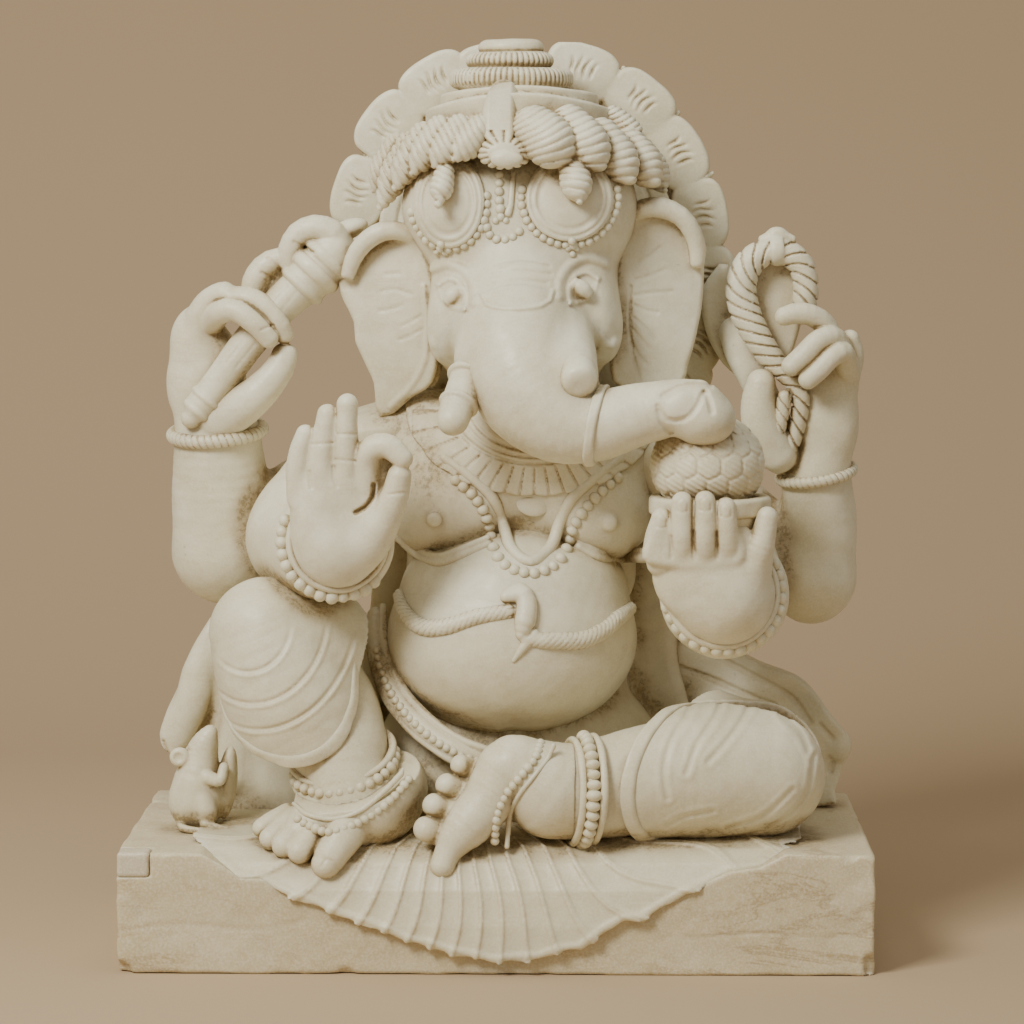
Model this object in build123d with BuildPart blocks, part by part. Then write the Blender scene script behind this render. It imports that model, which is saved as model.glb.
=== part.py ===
"""Seated elephant-headed idol on a low plinth, carved in white marble, as an assembly of its elements.

Units are millimetres. X runs to the idol's left, Y to its back and Z up. The origin is the centre of the
plinth's underside. "Right" and "left" in the names are the idol's own: its right side is at -X.
"""

import os
from math import cos, radians, sin, sqrt

from build123d import *

# Driving dimensions
WIDTH = 600
DEPTH = 290
HEIGHT = 741
PLINTH_HEIGHT = 97
CLOTH_THICKNESS = 8
PLINTH_FRONT = -DEPTH / 2 + CLOTH_THICKNESS
PLINTH_BACK = DEPTH / 2

# Halo
HALO_CENTRE = (28.6, 579)
HALO_DISC_RADIUS = 127
HALO_FRONT = 74
HALO_BACK = 96
PETAL_RADIUS = 140
PETAL_HALF_WIDTH = 26
PETAL_HALF_HEIGHT = HEIGHT - HALO_CENTRE[1] - PETAL_RADIUS
PETAL_PITCH = 21.6
PETAL_ANGLES = (
    [72.5 - PETAL_PITCH * i for i in range(6)] + [98.5] + [124.4 + PETAL_PITCH * i for i in range(5)]
)
BUD_RADIUS = 10
BUD_RING = 150

# Torso
BELLY_CENTRE = (15, 5, 250)
BELLY_RADII = (102, 95, 84)
CHEST_MIDDLE = (18, 20)
CHEST_STATIONS = [
    (292, 88, 66),
    (325, 98, 74),
    (360, 103, 77),
    (400, 106, 72),
    (432, 92, 62),
    (470, 58, 50),
]
HIP_MIDDLE = (15, 32)
HIP_STATIONS = [(PLINTH_HEIGHT, 124, 86), (125, 135, 96), (165, 124, 92), (215, 100, 80)]

# Head
HEAD_STATIONS = [
    (462, 27, 62, 54),
    (485, 28, 72, 64),
    (520, 28, 78, 71),
    (560, 22, 84, 75),
    (600, 20, 89, 74),
    (640, 20, 86, 68),
    (662, 22, 80, 60),
]
HEAD_Y = 15
CROWN_MIDDLE = (24, 18)
CROWN_BAND = (90, 66, 662, 692)
CROWN_TIERS = [(50, 42, 692, 708), (37, 32, 708, 721), (26, 23, 721, HEIGHT)]

# Strung beads stand this far off whatever they lie on
BEAD_GAP = 0.3


# ---------------------------------------------------------------- shared shapes


def front_plane(y):
    """Upright plane at this Y, seen from the front: sketch x is X, sketch y is Z, extrusion comes forward."""
    return Plane.XZ.offset(-y)


def ball(centre, radii, tilt=(0, 0, 0)):
    """An ellipsoid turned about its own centre, in no part yet."""
    largest = max(radii)
    shape = scale(Sphere(largest, mode=Mode.PRIVATE), by=tuple(r / largest for r in radii), mode=Mode.PRIVATE)
    return shape.moved(Location(centre, tilt))


def ellipsoid(centre, radii, tilt=(0, 0, 0)):
    """Add an ellipsoid to the active part."""
    add(ball(centre, radii, tilt))


def limb(points, radii, flat=1.0, reference=(0, 1, 0), mode=Mode.ADD):
    """Loft round sections along a bent centre line; flat below 1 narrows them across the reference."""
    path = [Vector(*p) for p in points]
    sections = []
    for i, (here, radius) in enumerate(zip(path, radii)):
        ahead = (path[min(i + 1, len(path) - 1)] - path[max(i - 1, 0)]).normalized()
        plane = Plane(origin=here, x_dir=Vector(*reference).cross(ahead), z_dir=ahead)
        with BuildSketch(plane) as section:
            if flat == 1.0:
                Circle(radius)
            else:
                Ellipse(radius, radius * flat)
        sections.append(section.sketch)
    loft(sections=sections, mode=mode)


def knuckled(points, radii):
    """Add a finger-like chain: a straight cone between each two points and a fuller ball at each."""
    path = [Vector(*p) for p in points]
    for here, there, radius, next_radius in zip(path, path[1:], radii, radii[1:]):
        ahead = (there - here).normalized()
        with BuildSketch(Plane(origin=here, z_dir=ahead)) as start:
            Circle(radius)
        with BuildSketch(Plane(origin=there, z_dir=ahead)) as end:
            Circle(next_radius)
        loft(sections=[start.sketch, end.sketch])
    for here, radius in zip(path, radii):
        with Locations(tuple(here)):
            Sphere(radius * 1.03)


def stack(middle, stations):
    """Loft horizontal ellipses, given as (height, half width, half depth), about a vertical line."""
    sections = []
    for height, half_width, half_depth in stations:
        with BuildSketch(Plane((*middle, height))) as section:
            Ellipse(half_width, half_depth)
        sections.append(section.sketch)
    loft(sections=sections)


def slab(outline, back, thickness, smooth=True):
    """Extrude a front-view outline of (x, z) points forward from the plane at Y = back."""
    with BuildSketch(front_plane(back)) as face:
        with BuildLine():
            if smooth:
                Spline(*outline, periodic=True)
            else:
                Polyline(*outline, close=True)
        make_face()
    extrude(face.sketch, amount=thickness)


def tube(points, radius, bend):
    """Sweep a round section along straight runs joined by arcs of one bend radius."""
    with BuildLine() as route:
        FilletPolyline(*points, radius=bend)
    with BuildSketch(Plane(origin=route.line @ 0, z_dir=route.line % 0)) as section:
        Circle(radius)
    sweep(section.sketch, path=route.line)


def along(points, pitch):
    """Points every pitch along a smooth curve through the given points."""
    curve = Edge.make_spline([Vector(*p) for p in points])
    count = int(curve.length // pitch)
    return [curve.position_at((i + 0.5) / count) for i in range(count)]


def around(plane, half_width, half_depth, count, first=0, last=360):
    """Points spaced round an ellipse in a plane, from the first angle to the last."""
    step = (last - first) / count
    angles = [radians(first + step * (i + 0.5)) for i in range(count)]
    flat_points = [Vector(half_width * cos(a), half_depth * sin(a), 0) for a in angles]
    return [plane.from_local_coords(point) for point in flat_points]


def carve(piece, *neighbours):
    """Cut a one-solid piece back to its neighbours' faces inside its block, and drop any crumbs."""
    for neighbour in neighbours:
        add(neighbour.part, mode=Mode.SUBTRACT)
    add(piece.solids().sort_by(SortBy.VOLUME)[-1], mode=Mode.REPLACE)


def apart(shapes, *neighbours):
    """Cut each shape on its own by the neighbours and by the shapes before it, keeping its largest piece."""
    kept = []
    for shape in shapes:
        solid = shape.solids()[0]
        full = solid.volume
        for other in [neighbour.part for neighbour in neighbours] + kept:
            pieces = (solid - other).solids()
            solid = max(pieces, key=lambda piece: piece.volume) if pieces else None
            if solid is None:
                break
        if solid is not None and solid.volume > 0.08 * full:
            kept.append(solid)
    return kept


def beads(points, radius, middle, *neighbours):
    """One ball per point, moved away from the middle until it stands clear, or dropped if it cannot.

    With no middle the beads move forward.
    """
    spots = []
    for point in points:
        spot = Vector(*point)
        for _ in range(5):
            room = min(Vertex(*spot).distance_to(neighbour.part) for neighbour in neighbours)
            short = radius + BEAD_GAP - room
            if short <= 0:
                break
            outward = (spot - Vector(*middle)).normalized() if middle else Vector(0, -1, 0)
            spot = spot + outward * (short + 0.1)
        if short <= 0 and all((spot - other).length > 2 * radius + BEAD_GAP for other in spots):
            spots.append(spot)
    return [Sphere(radius, mode=Mode.PRIVATE).moved(Location(tuple(spot))) for spot in spots]


def skin(x, z, stand_off=0.0):
    """Point in front of the torso at this x and z, on the belly or the chest, whichever is further forward."""
    (cx, cy, cz), (rx, ry, rz) = BELLY_CENTRE, BELLY_RADII
    belly_front = cy - ry * sqrt(max(0.0, 1 - ((x - cx) / rx) ** 2 - ((z - cz) / rz) ** 2))
    chest_front = cy
    for low, high in zip(CHEST_STATIONS, CHEST_STATIONS[1:]):
        if low[0] <= z <= high[0]:
            share = (z - low[0]) / (high[0] - low[0])
            half_width = low[1] + share * (high[1] - low[1])
            half_depth = low[2] + share * (high[2] - low[2])
            inside = max(0.0, 1 - ((x - CHEST_MIDDLE[0]) / half_width) ** 2)
            chest_front = CHEST_MIDDLE[1] - half_depth * sqrt(inside)
    return (x, min(belly_front, chest_front) - stand_off, z)


# ---------------------------------------------------------------- base: plinth, its repair and the cloth

CLOTH_EDGE = [
    (-241, 97),
    (-194, 62),
    (-123, 40),
    (-52, 17),
    (13, 9),
    (83, 25),
    (146, 58),
    (209, 84),
    (252, 97),
]
CLOTH_SLOPE = [(-145, 0), (-144, 40), (-138, 68), (-122, 90), (-95, 101), (-60, 104), (-25, 104)]
PATCH = (27, 24, 20)


def cloth_fan(mode):
    """The cloth's outline as seen from the front, run back through the block."""
    with BuildSketch(front_plane(-25)) as fan:
        with BuildLine():
            Spline(*CLOTH_EDGE)
            Polyline(CLOTH_EDGE[-1], (252, 120), (-241, 120), CLOTH_EDGE[0])
        make_face()
    extrude(fan.sketch, amount=DEPTH / 2 - 25 + 20, mode=mode)


def cloth_profile(inset):
    """Side profile of the cloth's outer face, moved in by inset, closed well outside the block."""
    edge = [(y + inset, z - inset * 0.8) for y, z in CLOTH_SLOPE]
    with BuildSketch(Plane.YZ.offset(-WIDTH / 2)) as side:
        with BuildLine():
            Spline(*edge)
            Polyline(edge[-1], (edge[-1][0], 130), (-190, 130), (-190, edge[0][1]), edge[0])
        make_face()
    return side.sketch


with BuildPart() as cloth_recess:
    extrude(cloth_profile(CLOTH_THICKNESS), amount=WIDTH)
    cloth_fan(Mode.INTERSECT)

with BuildPart() as corner_patch:
    with Locations((-WIDTH / 2, PLINTH_FRONT, PLINTH_HEIGHT)):
        Box(*PATCH, align=(Align.MIN, Align.MIN, Align.MAX))

with BuildPart() as plinth:
    with BuildSketch():
        with Locations((0, (PLINTH_FRONT + PLINTH_BACK) / 2)):
            Rectangle(WIDTH, PLINTH_BACK - PLINTH_FRONT)
    extrude(amount=PLINTH_HEIGHT)
    chamfer(plinth.edges().filter_by(Axis.Z), length=1.5)
    carve(plinth, corner_patch, cloth_recess)

with BuildPart() as seat_cloth:
    extrude(cloth_profile(CLOTH_THICKNESS), amount=WIDTH)
    cloth_fan(Mode.INTERSECT)
    extrude(cloth_profile(0), amount=WIDTH, mode=Mode.SUBTRACT)
    carve(seat_cloth)

# ---------------------------------------------------------------- torso

with BuildPart() as belly:
    ellipsoid(BELLY_CENTRE, BELLY_RADII)

with BuildPart() as chest:
    stack(CHEST_MIDDLE, CHEST_STATIONS)
    carve(chest, belly)

with BuildPart() as hips:
    stack(HIP_MIDDLE, HIP_STATIONS)
    carve(hips, belly, plinth, seat_cloth)

# ---------------------------------------------------------------- head, trunk, ears and tusks

with BuildPart() as head:
    head_sections = []
    for height, x, half_width, half_depth in HEAD_STATIONS:
        with BuildSketch(Plane((x, HEAD_Y, height))) as head_section:
            Ellipse(half_width, half_depth)
        head_sections.append(head_section.sketch)
    loft(sections=head_sections)
    carve(head, chest)

TRUNK_LINE = [
    (17, -40, 520),
    (20, -66, 488),
    (32, -84, 458),
    (56, -96, 438),
    (84, -106, 434),
    (116, -112, 440),
    (146, -116, 446),
    (168, -116, 444),
]
TRUNK_RADII = [46, 47, 44, 36, 28, 24, 22, 24]

with BuildPart() as trunk:
    limb(TRUNK_LINE, TRUNK_RADII)
    ellipsoid((164, -114, 442), (24, 23, 19))
    carve(trunk, head, chest)

with BuildPart() as trunk_band:
    limb([(76, -103, 435), (84, -106, 434), (91, -108, 435)], [29, 32, 29])
    carve(trunk_band, trunk, chest)

with BuildPart() as tusk_right:
    limb([(-12, -66, 484), (-25, -86, 462), (-33, -106, 440)], [15, 13.5, 12])
    carve(tusk_right, head, trunk)

with BuildPart() as tusk_left:
    limb([(58, -70, 500), (62, -98, 486), (65, -122, 474)], [15, 14.5, 14])
    carve(tusk_left, head, trunk)

EAR_RIGHT = [
    (-60, 590),
    (-92, 592),
    (-124, 574),
    (-130, 540),
    (-119, 495),
    (-103, 452),
    (-94, 434),
    (-74, 448),
    (-52, 480),
]
EAR_LEFT = [
    (92, 600),
    (128, 613),
    (160, 596),
    (169, 556),
    (170, 510),
    (163, 468),
    (152, 446),
    (118, 440),
    (92, 462),
]

with BuildPart() as ear_right:
    slab([*EAR_RIGHT, (-30, 530)], 12, 20)
    carve(ear_right, head, chest, trunk)

with BuildPart() as ear_left:
    slab([*EAR_LEFT, (70, 530)], 14, 20)
    carve(ear_left, head, chest, trunk)

# ---------------------------------------------------------------- crown, hair and brow ornaments

with BuildPart() as crown_band:
    with BuildSketch(Plane((*CROWN_MIDDLE, CROWN_BAND[2]))):
        Ellipse(CROWN_BAND[0], CROWN_BAND[1])
    extrude(amount=CROWN_BAND[3] - CROWN_BAND[2], taper=8)

with BuildPart() as crown_rings:
    for half_width, half_depth, low, high in CROWN_TIERS:
        with BuildSketch(Plane((12, 22, low))):
            Ellipse(half_width, half_depth)
        extrude(amount=high - low)
    fillet(crown_rings.edges().group_by(Axis.Z)[-1], radius=8)

with BuildPart() as crown_strap:
    limb([(2, -38, 706), (2, -50, 684), (3, -56, 664), (5, -60, 648)], [11, 12, 12, 13], flat=0.7)
    with BuildSketch(front_plane(-48)) as medallion:
        with Locations((6, 645)):
            Circle(20)
    extrude(medallion.sketch, amount=17)
    carve(crown_strap, crown_band, crown_rings, head)

CURLS = [
    ((-88, -8, 620), (15, 17, 23), 35),
    ((-70, -32, 637), (15, 17, 23), 38),
    ((-45, -46, 650), (15, 16, 20), 30),
    ((-24, -54, 652), (14, 16, 19), 10),
    ((36, -56, 654), (17, 15, 21), -15),
    ((66, -50, 650), (18, 16, 24), -25),
    ((92, -32, 644), (16, 17, 26), -25),
    ((112, -4, 636), (15, 19, 26), -25),
]

curl_shapes = [ball(centre, radii, (0, lean, 0)) for centre, radii, lean in CURLS]

with BuildPart() as hair_curls:
    add(apart(curl_shapes, head, crown_band, crown_strap, ear_right, ear_left))

BROW_DISCS = [((-40, 602), 25, -50), ((61, 600), 32, -60), ((11, 612), 8, -68), ((11, 584), 9, -66)]

with BuildPart() as brow_discs:
    for centre, radius, front in BROW_DISCS:
        with BuildSketch(front_plane(-34)) as disc_face:
            with Locations(centre):
                Circle(radius)
        extrude(disc_face.sketch, amount=-34 - front)
    chamfer(brow_discs.faces().filter_by(Axis.Y).group_by(Axis.Y)[0].edges(), length=2)

with BuildPart() as brow_ornaments:
    add(apart(brow_discs.solids(), head, hair_curls, crown_strap))

# ---------------------------------------------------------------- halo

with BuildPart() as halo_disc:
    with BuildSketch(front_plane(HALO_BACK)) as disc:
        with Locations(HALO_CENTRE):
            Circle(HALO_DISC_RADIUS)
        with BuildLine():
            Polyline((-97, 590), (-103, 440), (160, 432), (155, 590), close=True)
        make_face()
    extrude(disc.sketch, amount=HALO_BACK - HALO_FRONT)
    carve(halo_disc, head, chest, crown_band, crown_rings, ear_right, ear_left)

with BuildPart() as petal_ring:
    for angle in PETAL_ANGLES:
        spot = (
            HALO_CENTRE[0] + PETAL_RADIUS * cos(radians(angle)),
            HALO_CENTRE[1] + PETAL_RADIUS * sin(radians(angle)),
        )
        with BuildSketch(front_plane(HALO_BACK - 2)) as petal:
            with Locations(spot):
                Ellipse(PETAL_HALF_HEIGHT, PETAL_HALF_WIDTH, rotation=angle)
        extrude(petal.sketch, amount=18)
    add(halo_disc.part, mode=Mode.SUBTRACT)

with BuildPart() as halo_petals:
    add(apart(petal_ring.solids(), halo_disc, crown_band, crown_rings))

with BuildPart() as bud_ring:
    for before, after in zip(sorted(PETAL_ANGLES), sorted(PETAL_ANGLES)[1:]):
        middle = radians((before + after) / 2)
        spot = (HALO_CENTRE[0] + BUD_RING * cos(middle), HALO_CENTRE[1] + BUD_RING * sin(middle))
        with BuildSketch(front_plane(HALO_BACK - 4)) as bud:
            with Locations(spot):
                Circle(BUD_RADIUS)
        extrude(bud.sketch, amount=14)

with BuildPart() as halo_buds:
    add(apart(bud_ring.solids(), halo_disc, halo_petals, crown_rings))

# ---------------------------------------------------------------- folded left leg

KNEE_LEFT = (214, -62, 150)
TOES_LEFT = [((-52, -118, 114), 11), ((-47, -110, 133), 10), ((-38, -104, 149), 10), ((-28, -98, 161), 9)]

with BuildPart() as folded_shin:
    limb([(62, -91, 136), (100, -86, 143), (150, -76, 150), (212, -64, 150)], [40, 48, 55, 54])
    ellipsoid(KNEE_LEFT, (54, 56, 53))
    carve(folded_shin, belly, hips, plinth, seat_cloth)

with BuildPart() as folded_thigh:
    limb([(70, 20, 158), (130, 0, 156), (205, -20, 152)], [56, 56, 48])
    carve(folded_thigh, folded_shin, belly, hips, plinth, seat_cloth)

with BuildPart() as folded_foot:
    knuckled([(58, -95, 137), (34, -101, 146), (16, -106, 150)], [38, 33, 26])
    knuckled([(20, -104, 164), (0, -111, 140), (-20, -117, 120), (-38, -122, 107)], [23, 25, 19, 10])
    knuckled([(-8, -100, 132), (-30, -108, 132)], [22, 14])
    for centre, radius in TOES_LEFT:
        ellipsoid(centre, (radius, radius + 2, radius))
    carve(folded_foot, folded_shin, belly, hips, plinth, seat_cloth)

with BuildPart() as folded_hem:
    limb([(112, -84, 145), (121, -82, 147), (129, -80, 148)], [52.5, 55, 56])
    carve(folded_hem, folded_shin, folded_thigh, belly, hips, plinth, seat_cloth)

folded_ring = around(Plane(origin=(66, -92, 136), z_dir=(1, 0.15, 0.1)), 43, 43, 26)
folded_spots = [p for p in folded_ring if p.Z > 105 and p.Y < -62]

with BuildPart() as folded_anklets:
    add(beads(folded_spots, 4.6, (66, -92, 136), folded_shin, folded_foot, folded_thigh, hips, seat_cloth))

# ---------------------------------------------------------------- raised right leg

KNEE_RIGHT = (-190, -48, 262)

with BuildPart() as raised_shin:
    limb([(-124, -66, 146), (-148, -57, 180), (-168, -52, 220), (-189, -48, 260)], [37, 50, 57, 46])
    ellipsoid(KNEE_RIGHT, (45, 47, 44))

with BuildPart() as raised_thigh:
    limb([(-40, 34, 176), (-110, 4, 212), (-176, -30, 248)], [58, 56, 44])
    carve(raised_thigh, raised_shin, belly, hips, chest, plinth, seat_cloth)

with BuildPart() as raised_foot:
    limb([(-124, -66, 150), (-124, -68, 128), (-122, -68, 108)], [36, 37, 36])
    ellipsoid((-142, -92, 112), (50, 34, 17), (0, -6, 42))
    for centre, radius in [
        ((-134, -119, 99), 13),
        ((-150, -114, 99), 10.5),
        ((-163, -108, 101), 10),
        ((-174, -101, 104), 9.5),
        ((-183, -93, 107), 9),
    ]:
        ellipsoid(centre, (radius * 0.95, radius * 1.5, radius * 0.9), (0, 0, -22))
    carve(raised_foot, raised_shin, plinth, seat_cloth)

with BuildPart() as raised_hem:
    limb([(-142, -59, 170), (-146, -57, 177), (-150, -56, 184)], [50, 53, 54])
    carve(raised_hem, raised_shin, raised_thigh, raised_foot, belly, hips)

upper_ring = around(Plane(origin=(-124, -66, 150), x_dir=(1, 0, 0.15), z_dir=(-0.15, 0.1, 1)), 40, 40, 26)
lower_ring = around(Plane(origin=(-126, -70, 134), x_dir=(1, 0, 0.25), z_dir=(-0.25, 0.15, 1)), 41, 41, 30)
raised_spots = [p for p in upper_ring if p.Y < -50] + [p for p in lower_ring if p.Y < -60]

with BuildPart() as raised_anklets:
    add(beads(raised_spots, 4, (-124, -66, 142), raised_shin, raised_foot, raised_thigh, raised_hem, folded_foot))

# ---------------------------------------------------------------- shawl ends and hip band

with BuildPart() as shawl_right:
    slab([(-238, 262), (-264, 212), (-285, 162), (-270, 97), (-150, 97), (-150, 262)], 70, 30, smooth=False)
    carve(shawl_right, raised_shin, raised_thigh, hips, plinth)

with BuildPart() as shawl_left:
    slab([(110, 250), (200, 236), (258, 204), (297, 152), (284, 97), (110, 97)], 100, 28, smooth=False)
    carve(shawl_left, folded_shin, folded_thigh, hips, belly, chest, plinth)

with BuildPart() as hip_band:
    with BuildLine() as hip_line:
        ThreePointArc((-96, 0, 250), (-62, -44, 190), (-4, -76, 160))
    with BuildSketch(Plane(origin=hip_line.line @ 0, z_dir=hip_line.line % 0)) as hip_section:
        Circle(9)
    sweep(hip_section.sketch, path=hip_line.line)
    carve(hip_band, belly, hips, raised_thigh, raised_shin, folded_foot, folded_shin)

# ---------------------------------------------------------------- front arms

with BuildPart() as front_right_upper_arm:
    limb([(-66, 28, 402), (-118, 26, 388), (-158, 14, 354)], [50, 52, 47])
    ellipsoid((-165, 8, 340), (45, 46, 46))
    carve(front_right_upper_arm, chest, belly, raised_shin, raised_thigh, halo_disc, ear_right)

with BuildPart() as front_right_forearm:
    limb([(-160, 0, 336), (-146, -46, 322), (-133, -88, 322)], [40, 41, 40])
    carve(front_right_forearm, front_right_upper_arm, raised_shin, raised_thigh, chest, belly)

with BuildPart() as front_right_hand:
    ellipsoid((-123, -110, 342), (41, 19, 46))
    knuckled([(-121, -113, 375), (-120, -116, 415), (-117, -117, 452)], [11, 10, 8.5])
    knuckled([(-138, -112, 372), (-137, -115, 408), (-136, -115, 438)], [10, 9.5, 8])
    knuckled([(-152, -110, 362), (-155, -112, 392), (-151, -112, 415)], [9, 8.5, 7])
    knuckled([(-106, -112, 372), (-98, -117, 408), (-88, -121, 416), (-74, -124, 405)], [10.5, 9.5, 9, 7])
    knuckled([(-98, -108, 336), (-84, -116, 362), (-77, -123, 390)], [14, 11, 8])
    carve(front_right_hand, front_right_forearm, front_right_upper_arm, raised_shin)

RIGHT_WRIST = (-133, -87, 322)
right_wrist_ring = around(Plane(origin=RIGHT_WRIST, x_dir=(1, 0.3, 0), z_dir=(0.3, -1, 0)), 43, 43, 32)

with BuildPart() as front_right_bracelet:
    add(beads(right_wrist_ring, 4, RIGHT_WRIST, front_right_forearm, front_right_hand, raised_shin))

with BuildPart() as front_left_upper_arm:
    limb([(104, 30, 404), (148, 26, 372), (184, 16, 326)], [48, 46, 42])
    ellipsoid((188, 10, 306), (42, 42, 42))
    carve(front_left_upper_arm, chest, belly, folded_shin, folded_thigh, halo_disc, ear_left)

with BuildPart() as front_left_forearm:
    limb([(188, 4, 300), (184, -44, 288), (180, -84, 292)], [38, 41, 40])
    carve(front_left_forearm, front_left_upper_arm, belly, chest, folded_shin)

BOWL_AXIS = (170, -80)

with BuildPart() as sweet_bowl:
    with BuildSketch(Plane(origin=(*BOWL_AXIS, 0), x_dir=(1, 0, 0), z_dir=(0, -1, 0))) as bowl_side:
        with BuildLine():
            Polyline((0, 332), (26, 332), (34, 345), (44, 356), (48, 358), (48, 371), (0, 371), (0, 332))
        make_face()
    revolve(bowl_side.sketch, axis=Axis((*BOWL_AXIS, 0), (0, 0, 1)))
    carve(sweet_bowl, front_left_forearm, chest, belly)

with BuildPart() as sweets:
    ellipsoid((168, -80, 399), (45.5, 44, 41))
    carve(sweets, sweet_bowl, trunk, chest, front_left_upper_arm)

with BuildPart() as front_left_hand:
    ellipsoid((167, -106, 312), (46, 20, 41))
    knuckled([(130, -108, 322), (128, -117, 345), (130, -118, 363)], [12, 10, 8])
    knuckled([(149, -112, 330), (147, -126, 352), (148, -127, 376)], [11, 10, 8.5])
    knuckled([(169, -112, 330), (168.5, -128, 352), (169, -129, 378)], [11, 10, 8.5])
    knuckled([(188, -110, 330), (189, -126, 350), (190, -127, 373)], [11, 10, 8.5])
    knuckled([(198, -100, 310), (212, -106, 334), (221, -106, 358)], [15, 11, 8.5])
    carve(front_left_hand, front_left_forearm, sweet_bowl, sweets, trunk)

LEFT_WRIST = (180, -83, 292)
left_wrist_ring = around(Plane(origin=LEFT_WRIST, x_dir=(1, 0, 0), z_dir=(0, -1, 0)), 43, 43, 32)
left_wrist_spots = [p for p in left_wrist_ring if p.Z < 322]

with BuildPart() as front_left_bracelet:
    add(beads(left_wrist_spots, 4, LEFT_WRIST, front_left_forearm, front_left_hand, sweet_bowl, belly))

# ---------------------------------------------------------------- back arms with axe and noose

AXE_FOOT = (-248, 2, 436)
AXE_NECK = (-154, 8, 546)
AXE_BLADE = [
    (-122, 596),
    (-150, 592),
    (-178, 576),
    (-198, 552),
    (-203, 528),
    (-188, 532),
    (-168, 548),
    (-140, 566),
]

with BuildPart() as back_right_arm:
    limb([(-100, 58, 396), (-165, 62, 352), (-218, 58, 312)], [40, 42, 42])
    ellipsoid((-228, 52, 306), (44, 43, 46))
    limb([(-230, 50, 310), (-233, 44, 360), (-236, 36, 412)], [42, 42, 37])
    carve(back_right_arm, chest, front_right_upper_arm, front_right_forearm, halo_disc, halo_petals,
          raised_shin, shawl_right)

with BuildPart() as axe_handle:
    limb([AXE_FOOT, (-236, 3, 450), (-200, 5, 492), AXE_NECK], [11, 13, 14, 18])
    carve(axe_handle, ear_right)

with BuildPart() as axe_head:
    limb([AXE_NECK, (-147, 9, 554), (-138, 10, 565), (-130, 12, 574)], [20, 24, 24, 20])
    slab(AXE_BLADE, 20, 16)
    carve(axe_head, axe_handle, ear_right, halo_disc, halo_petals, halo_buds)

with BuildPart() as back_right_hand:
    ellipsoid((-237, 28, 466), (37, 19, 46))
    knuckled([(-252, 22, 500), (-238, 4, 518), (-212, -10, 500), (-192, -8, 484)], [12, 11, 10, 8])
    knuckled([(-240, 24, 512), (-222, 8, 524), (-202, -6, 512), (-188, -2, 496)], [12, 11, 9, 7])
    knuckled([(-262, 26, 492), (-258, 16, 518), (-238, 10, 528)], [12, 11, 8])
    knuckled([(-226, 16, 430), (-200, 2, 446), (-184, 0, 474)], [15, 12, 9])
    carve(back_right_hand, back_right_arm, axe_handle, axe_head)

FAR_RIGHT_WRIST = (-236, 36, 412)
far_right_ring = around(Plane(origin=FAR_RIGHT_WRIST, x_dir=(1, 0, 0), z_dir=(-0.05, -0.15, 1)), 40, 40, 30)

with BuildPart() as back_right_bracelet:
    add(beads(far_right_ring, 3.9, FAR_RIGHT_WRIST, back_right_arm, back_right_hand, axe_handle))

with BuildPart() as back_left_arm:
    limb([(120, 60, 388), (180, 62, 346), (236, 56, 304)], [38, 38, 36])
    ellipsoid((264, 48, 292), (34, 37, 34))
    limb([(264, 46, 296), (265, 42, 340), (264, 34, 384)], [33, 32, 29])
    carve(back_left_arm, chest, front_left_upper_arm, front_left_forearm, halo_disc, halo_petals,
          shawl_left, sweet_bowl, sweets)

NOOSE_LINE = [
    (238, 2, 390),
    (244, 4, 432),
    (228, 12, 472),
    (253, 20, 512),
    (249, 20, 553),
    (226, 20, 583),
    (196, 20, 549),
    (197, 20, 510),
    (216, 16, 484),
]

with BuildPart() as noose_rope:
    tube(NOOSE_LINE, 9, 15)

WEB_OUTLINE = [
    (180, 520),
    (188, 566),
    (225, 590),
    (257, 560),
    (257, 505),
    (236, 456),
    (196, 452),
    (176, 470),
    (160, 500),
]

with BuildPart() as noose_web:
    slab(WEB_OUTLINE, 38, 14)
    ellipsoid((229, 24, 588), (10, 9, 9))
    carve(noose_web, noose_rope, halo_petals, halo_buds, halo_disc, ear_left)

with BuildPart() as back_left_hand:
    ellipsoid((266, 20, 436), (31, 18, 47))
    knuckled([(280, 16, 470), (288, 14, 487), (285, 12, 497)], [12, 11, 8])
    knuckled([(276, 14, 470), (268, -2, 478), (252, -6, 466), (245, -6, 456)], [11, 10, 9, 8])
    knuckled([(272, 16, 484), (258, -2, 488), (240, -6, 478), (233, -6, 470)], [11, 10, 9, 8])
    knuckled([(262, 20, 494), (250, 0, 502), (230, -4, 494)], [10, 9, 7])
    knuckled([(248, 14, 404), (222, 4, 430), (214, 2, 468)], [15, 13, 9])
    carve(back_left_hand, back_left_arm, noose_rope, noose_web)

FAR_LEFT_WRIST = (264, 34, 384)
far_left_ring = around(Plane(origin=FAR_LEFT_WRIST, x_dir=(1, 0, 0), z_dir=(0, -0.18, 1)), 31.5, 31.5, 26)
far_left_spots = [p for p in far_left_ring if p.X < 288]

with BuildPart() as back_left_bracelet:
    add(beads(far_left_spots, 3.5, FAR_LEFT_WRIST, back_left_arm, back_left_hand, noose_rope))

# ---------------------------------------------------------------- necklaces and cords

with BuildPart() as collar:
    with BuildLine() as collar_line:
        ThreePointArc((-42, 0, 410), (30, -56, 386), (108, 0, 410))
    with BuildSketch(Plane(origin=collar_line.line @ 0, z_dir=collar_line.line % 0)) as collar_section:
        Circle(14)
    sweep(collar_section.sketch, path=collar_line.line)
    carve(collar, chest, head, trunk, trunk_band, ear_right, ear_left,
          front_right_upper_arm, front_left_upper_arm)

CORD = [(-22, 384), (0, 362), (10, 332), (31, 316), (52, 332), (64, 362), (86, 384)]
STRAND = [(-36, 380), (-12, 356), (-3, 326), (28, 303), (62, 326), (76, 356), (102, 380)]

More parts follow.
